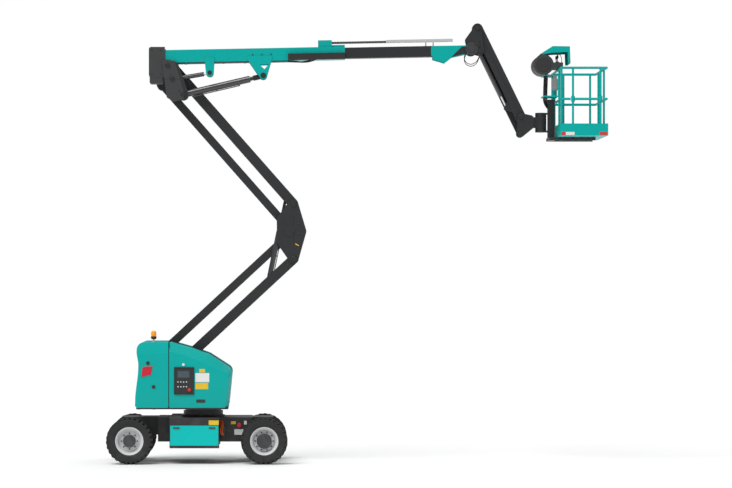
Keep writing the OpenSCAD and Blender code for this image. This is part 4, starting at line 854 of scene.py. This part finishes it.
block(bm, (AXIS_X + 5.615, DESK_LOW.y + 0.046, 6.150), (AXIS_X + 5.680, DESK_LOW.y + 0.056, 6.225), 0.002)
add_piece("document box", bm, POUCH_GREY, "platform")
LEAD_LOOP = ((5.665, 6.418), (5.672, 6.50), (5.712, 6.555), (5.752, 6.50), (5.756, 6.418))
hose("console lead", [(AXIS_X + x, DESK_LOW.y + 0.05, z) for x, z in LEAD_LOOP], 0.0055, SLEEVE, "platform")
for i in range(3):
    x, y = AXIS_X + 5.510 + 0.028 * i, -0.165 + 0.05 * i
    drops = [(x + bow, y, z) for bow, z in ((0, 6.295), (-0.004, 6.15), (-0.010, 5.97), (-0.004, 5.80))]
    hose("column hose %d" % i, drops + [(AXIS_X + 5.590, -0.145 + 0.03 * i, 5.67)], 0.012, SLEEVE, "platform")


# Studio: a pale floor that keeps the shadow and an even white backdrop. A soft key light stands high
# on the near side and a weak one behind; the camera looks level, square to the machine's side.
FLOOR_REACH = 60
BACKDROP, FILL = 1.0, 0.42
LAMPS = (("key", (0.30, 0.45, -0.85), 2.35, 0.7), ("back", (-0.3, -0.5, -0.8), 0.35, 0.9))
EYE = (AXIS_X + 0.9153, -45, 2.775)
FLOOR_FINISH, shader, place = new_finish("studio floor")
feed(blended(noise(place, 0.6), (0.93, 0.93, 0.93, 1), (0.96, 0.96, 0.96, 1)), shader, "Base Color")
shader.inputs["Roughness"].default_value = 0.9
bm = bmesh.new()
bmesh.ops.create_grid(bm, x_segments=1, y_segments=1, size=FLOOR_REACH)
mesh = bpy.data.meshes.new("studio floor")
bm.to_mesh(mesh)
bm.free()
mesh.materials.append(FLOOR_FINISH)
floor = bpy.data.objects.new("studio floor", mesh)
bpy.context.scene.collection.objects.link(floor)

world = bpy.data.worlds.new("studio")
bpy.context.scene.world = world
world.use_nodes = True
tree = world.node_tree
seen = tree.nodes["Background"]
seen.inputs["Color"].default_value = (1, 1, 1, 1)
seen.inputs["Strength"].default_value = BACKDROP
soft = tree.nodes.new("ShaderNodeBackground")
soft.inputs["Color"].default_value = (1, 1, 1, 1)
soft.inputs["Strength"].default_value = FILL
ray = tree.nodes.new("ShaderNodeLightPath")
choice = tree.nodes.new("ShaderNodeMixShader")
tree.links.new(ray.outputs["Is Camera Ray"], choice.inputs[0])
tree.links.new(soft.outputs[0], choice.inputs[1])
tree.links.new(seen.outputs[0], choice.inputs[2])
tree.links.new(choice.outputs[0], tree.nodes["World Output"].inputs["Surface"])

scene = bpy.context.scene
scene.view_settings.view_transform = "Standard"
for name, way, power, angle in LAMPS:
    lamp = bpy.data.lights.new(name, "SUN")
    lamp.energy, lamp.angle = power, angle
    made = bpy.data.objects.new(name, lamp)
    made.rotation_euler = Vector(way).to_track_quat("-Z", "Y").to_euler()
    scene.collection.objects.link(made)

lens = bpy.data.cameras.new("camera")
lens.lens, lens.sensor_width, lens.sensor_fit = 136.6, 36, "HORIZONTAL"
lens.shift_x, lens.shift_y = 0.145, 0.063
lens.clip_end = 200
camera = bpy.data.objects.new("camera", lens)
camera.location = EYE
camera.rotation_euler = (math.pi / 2, 0, 0)
scene.collection.objects.link(camera)
scene.camera = camera
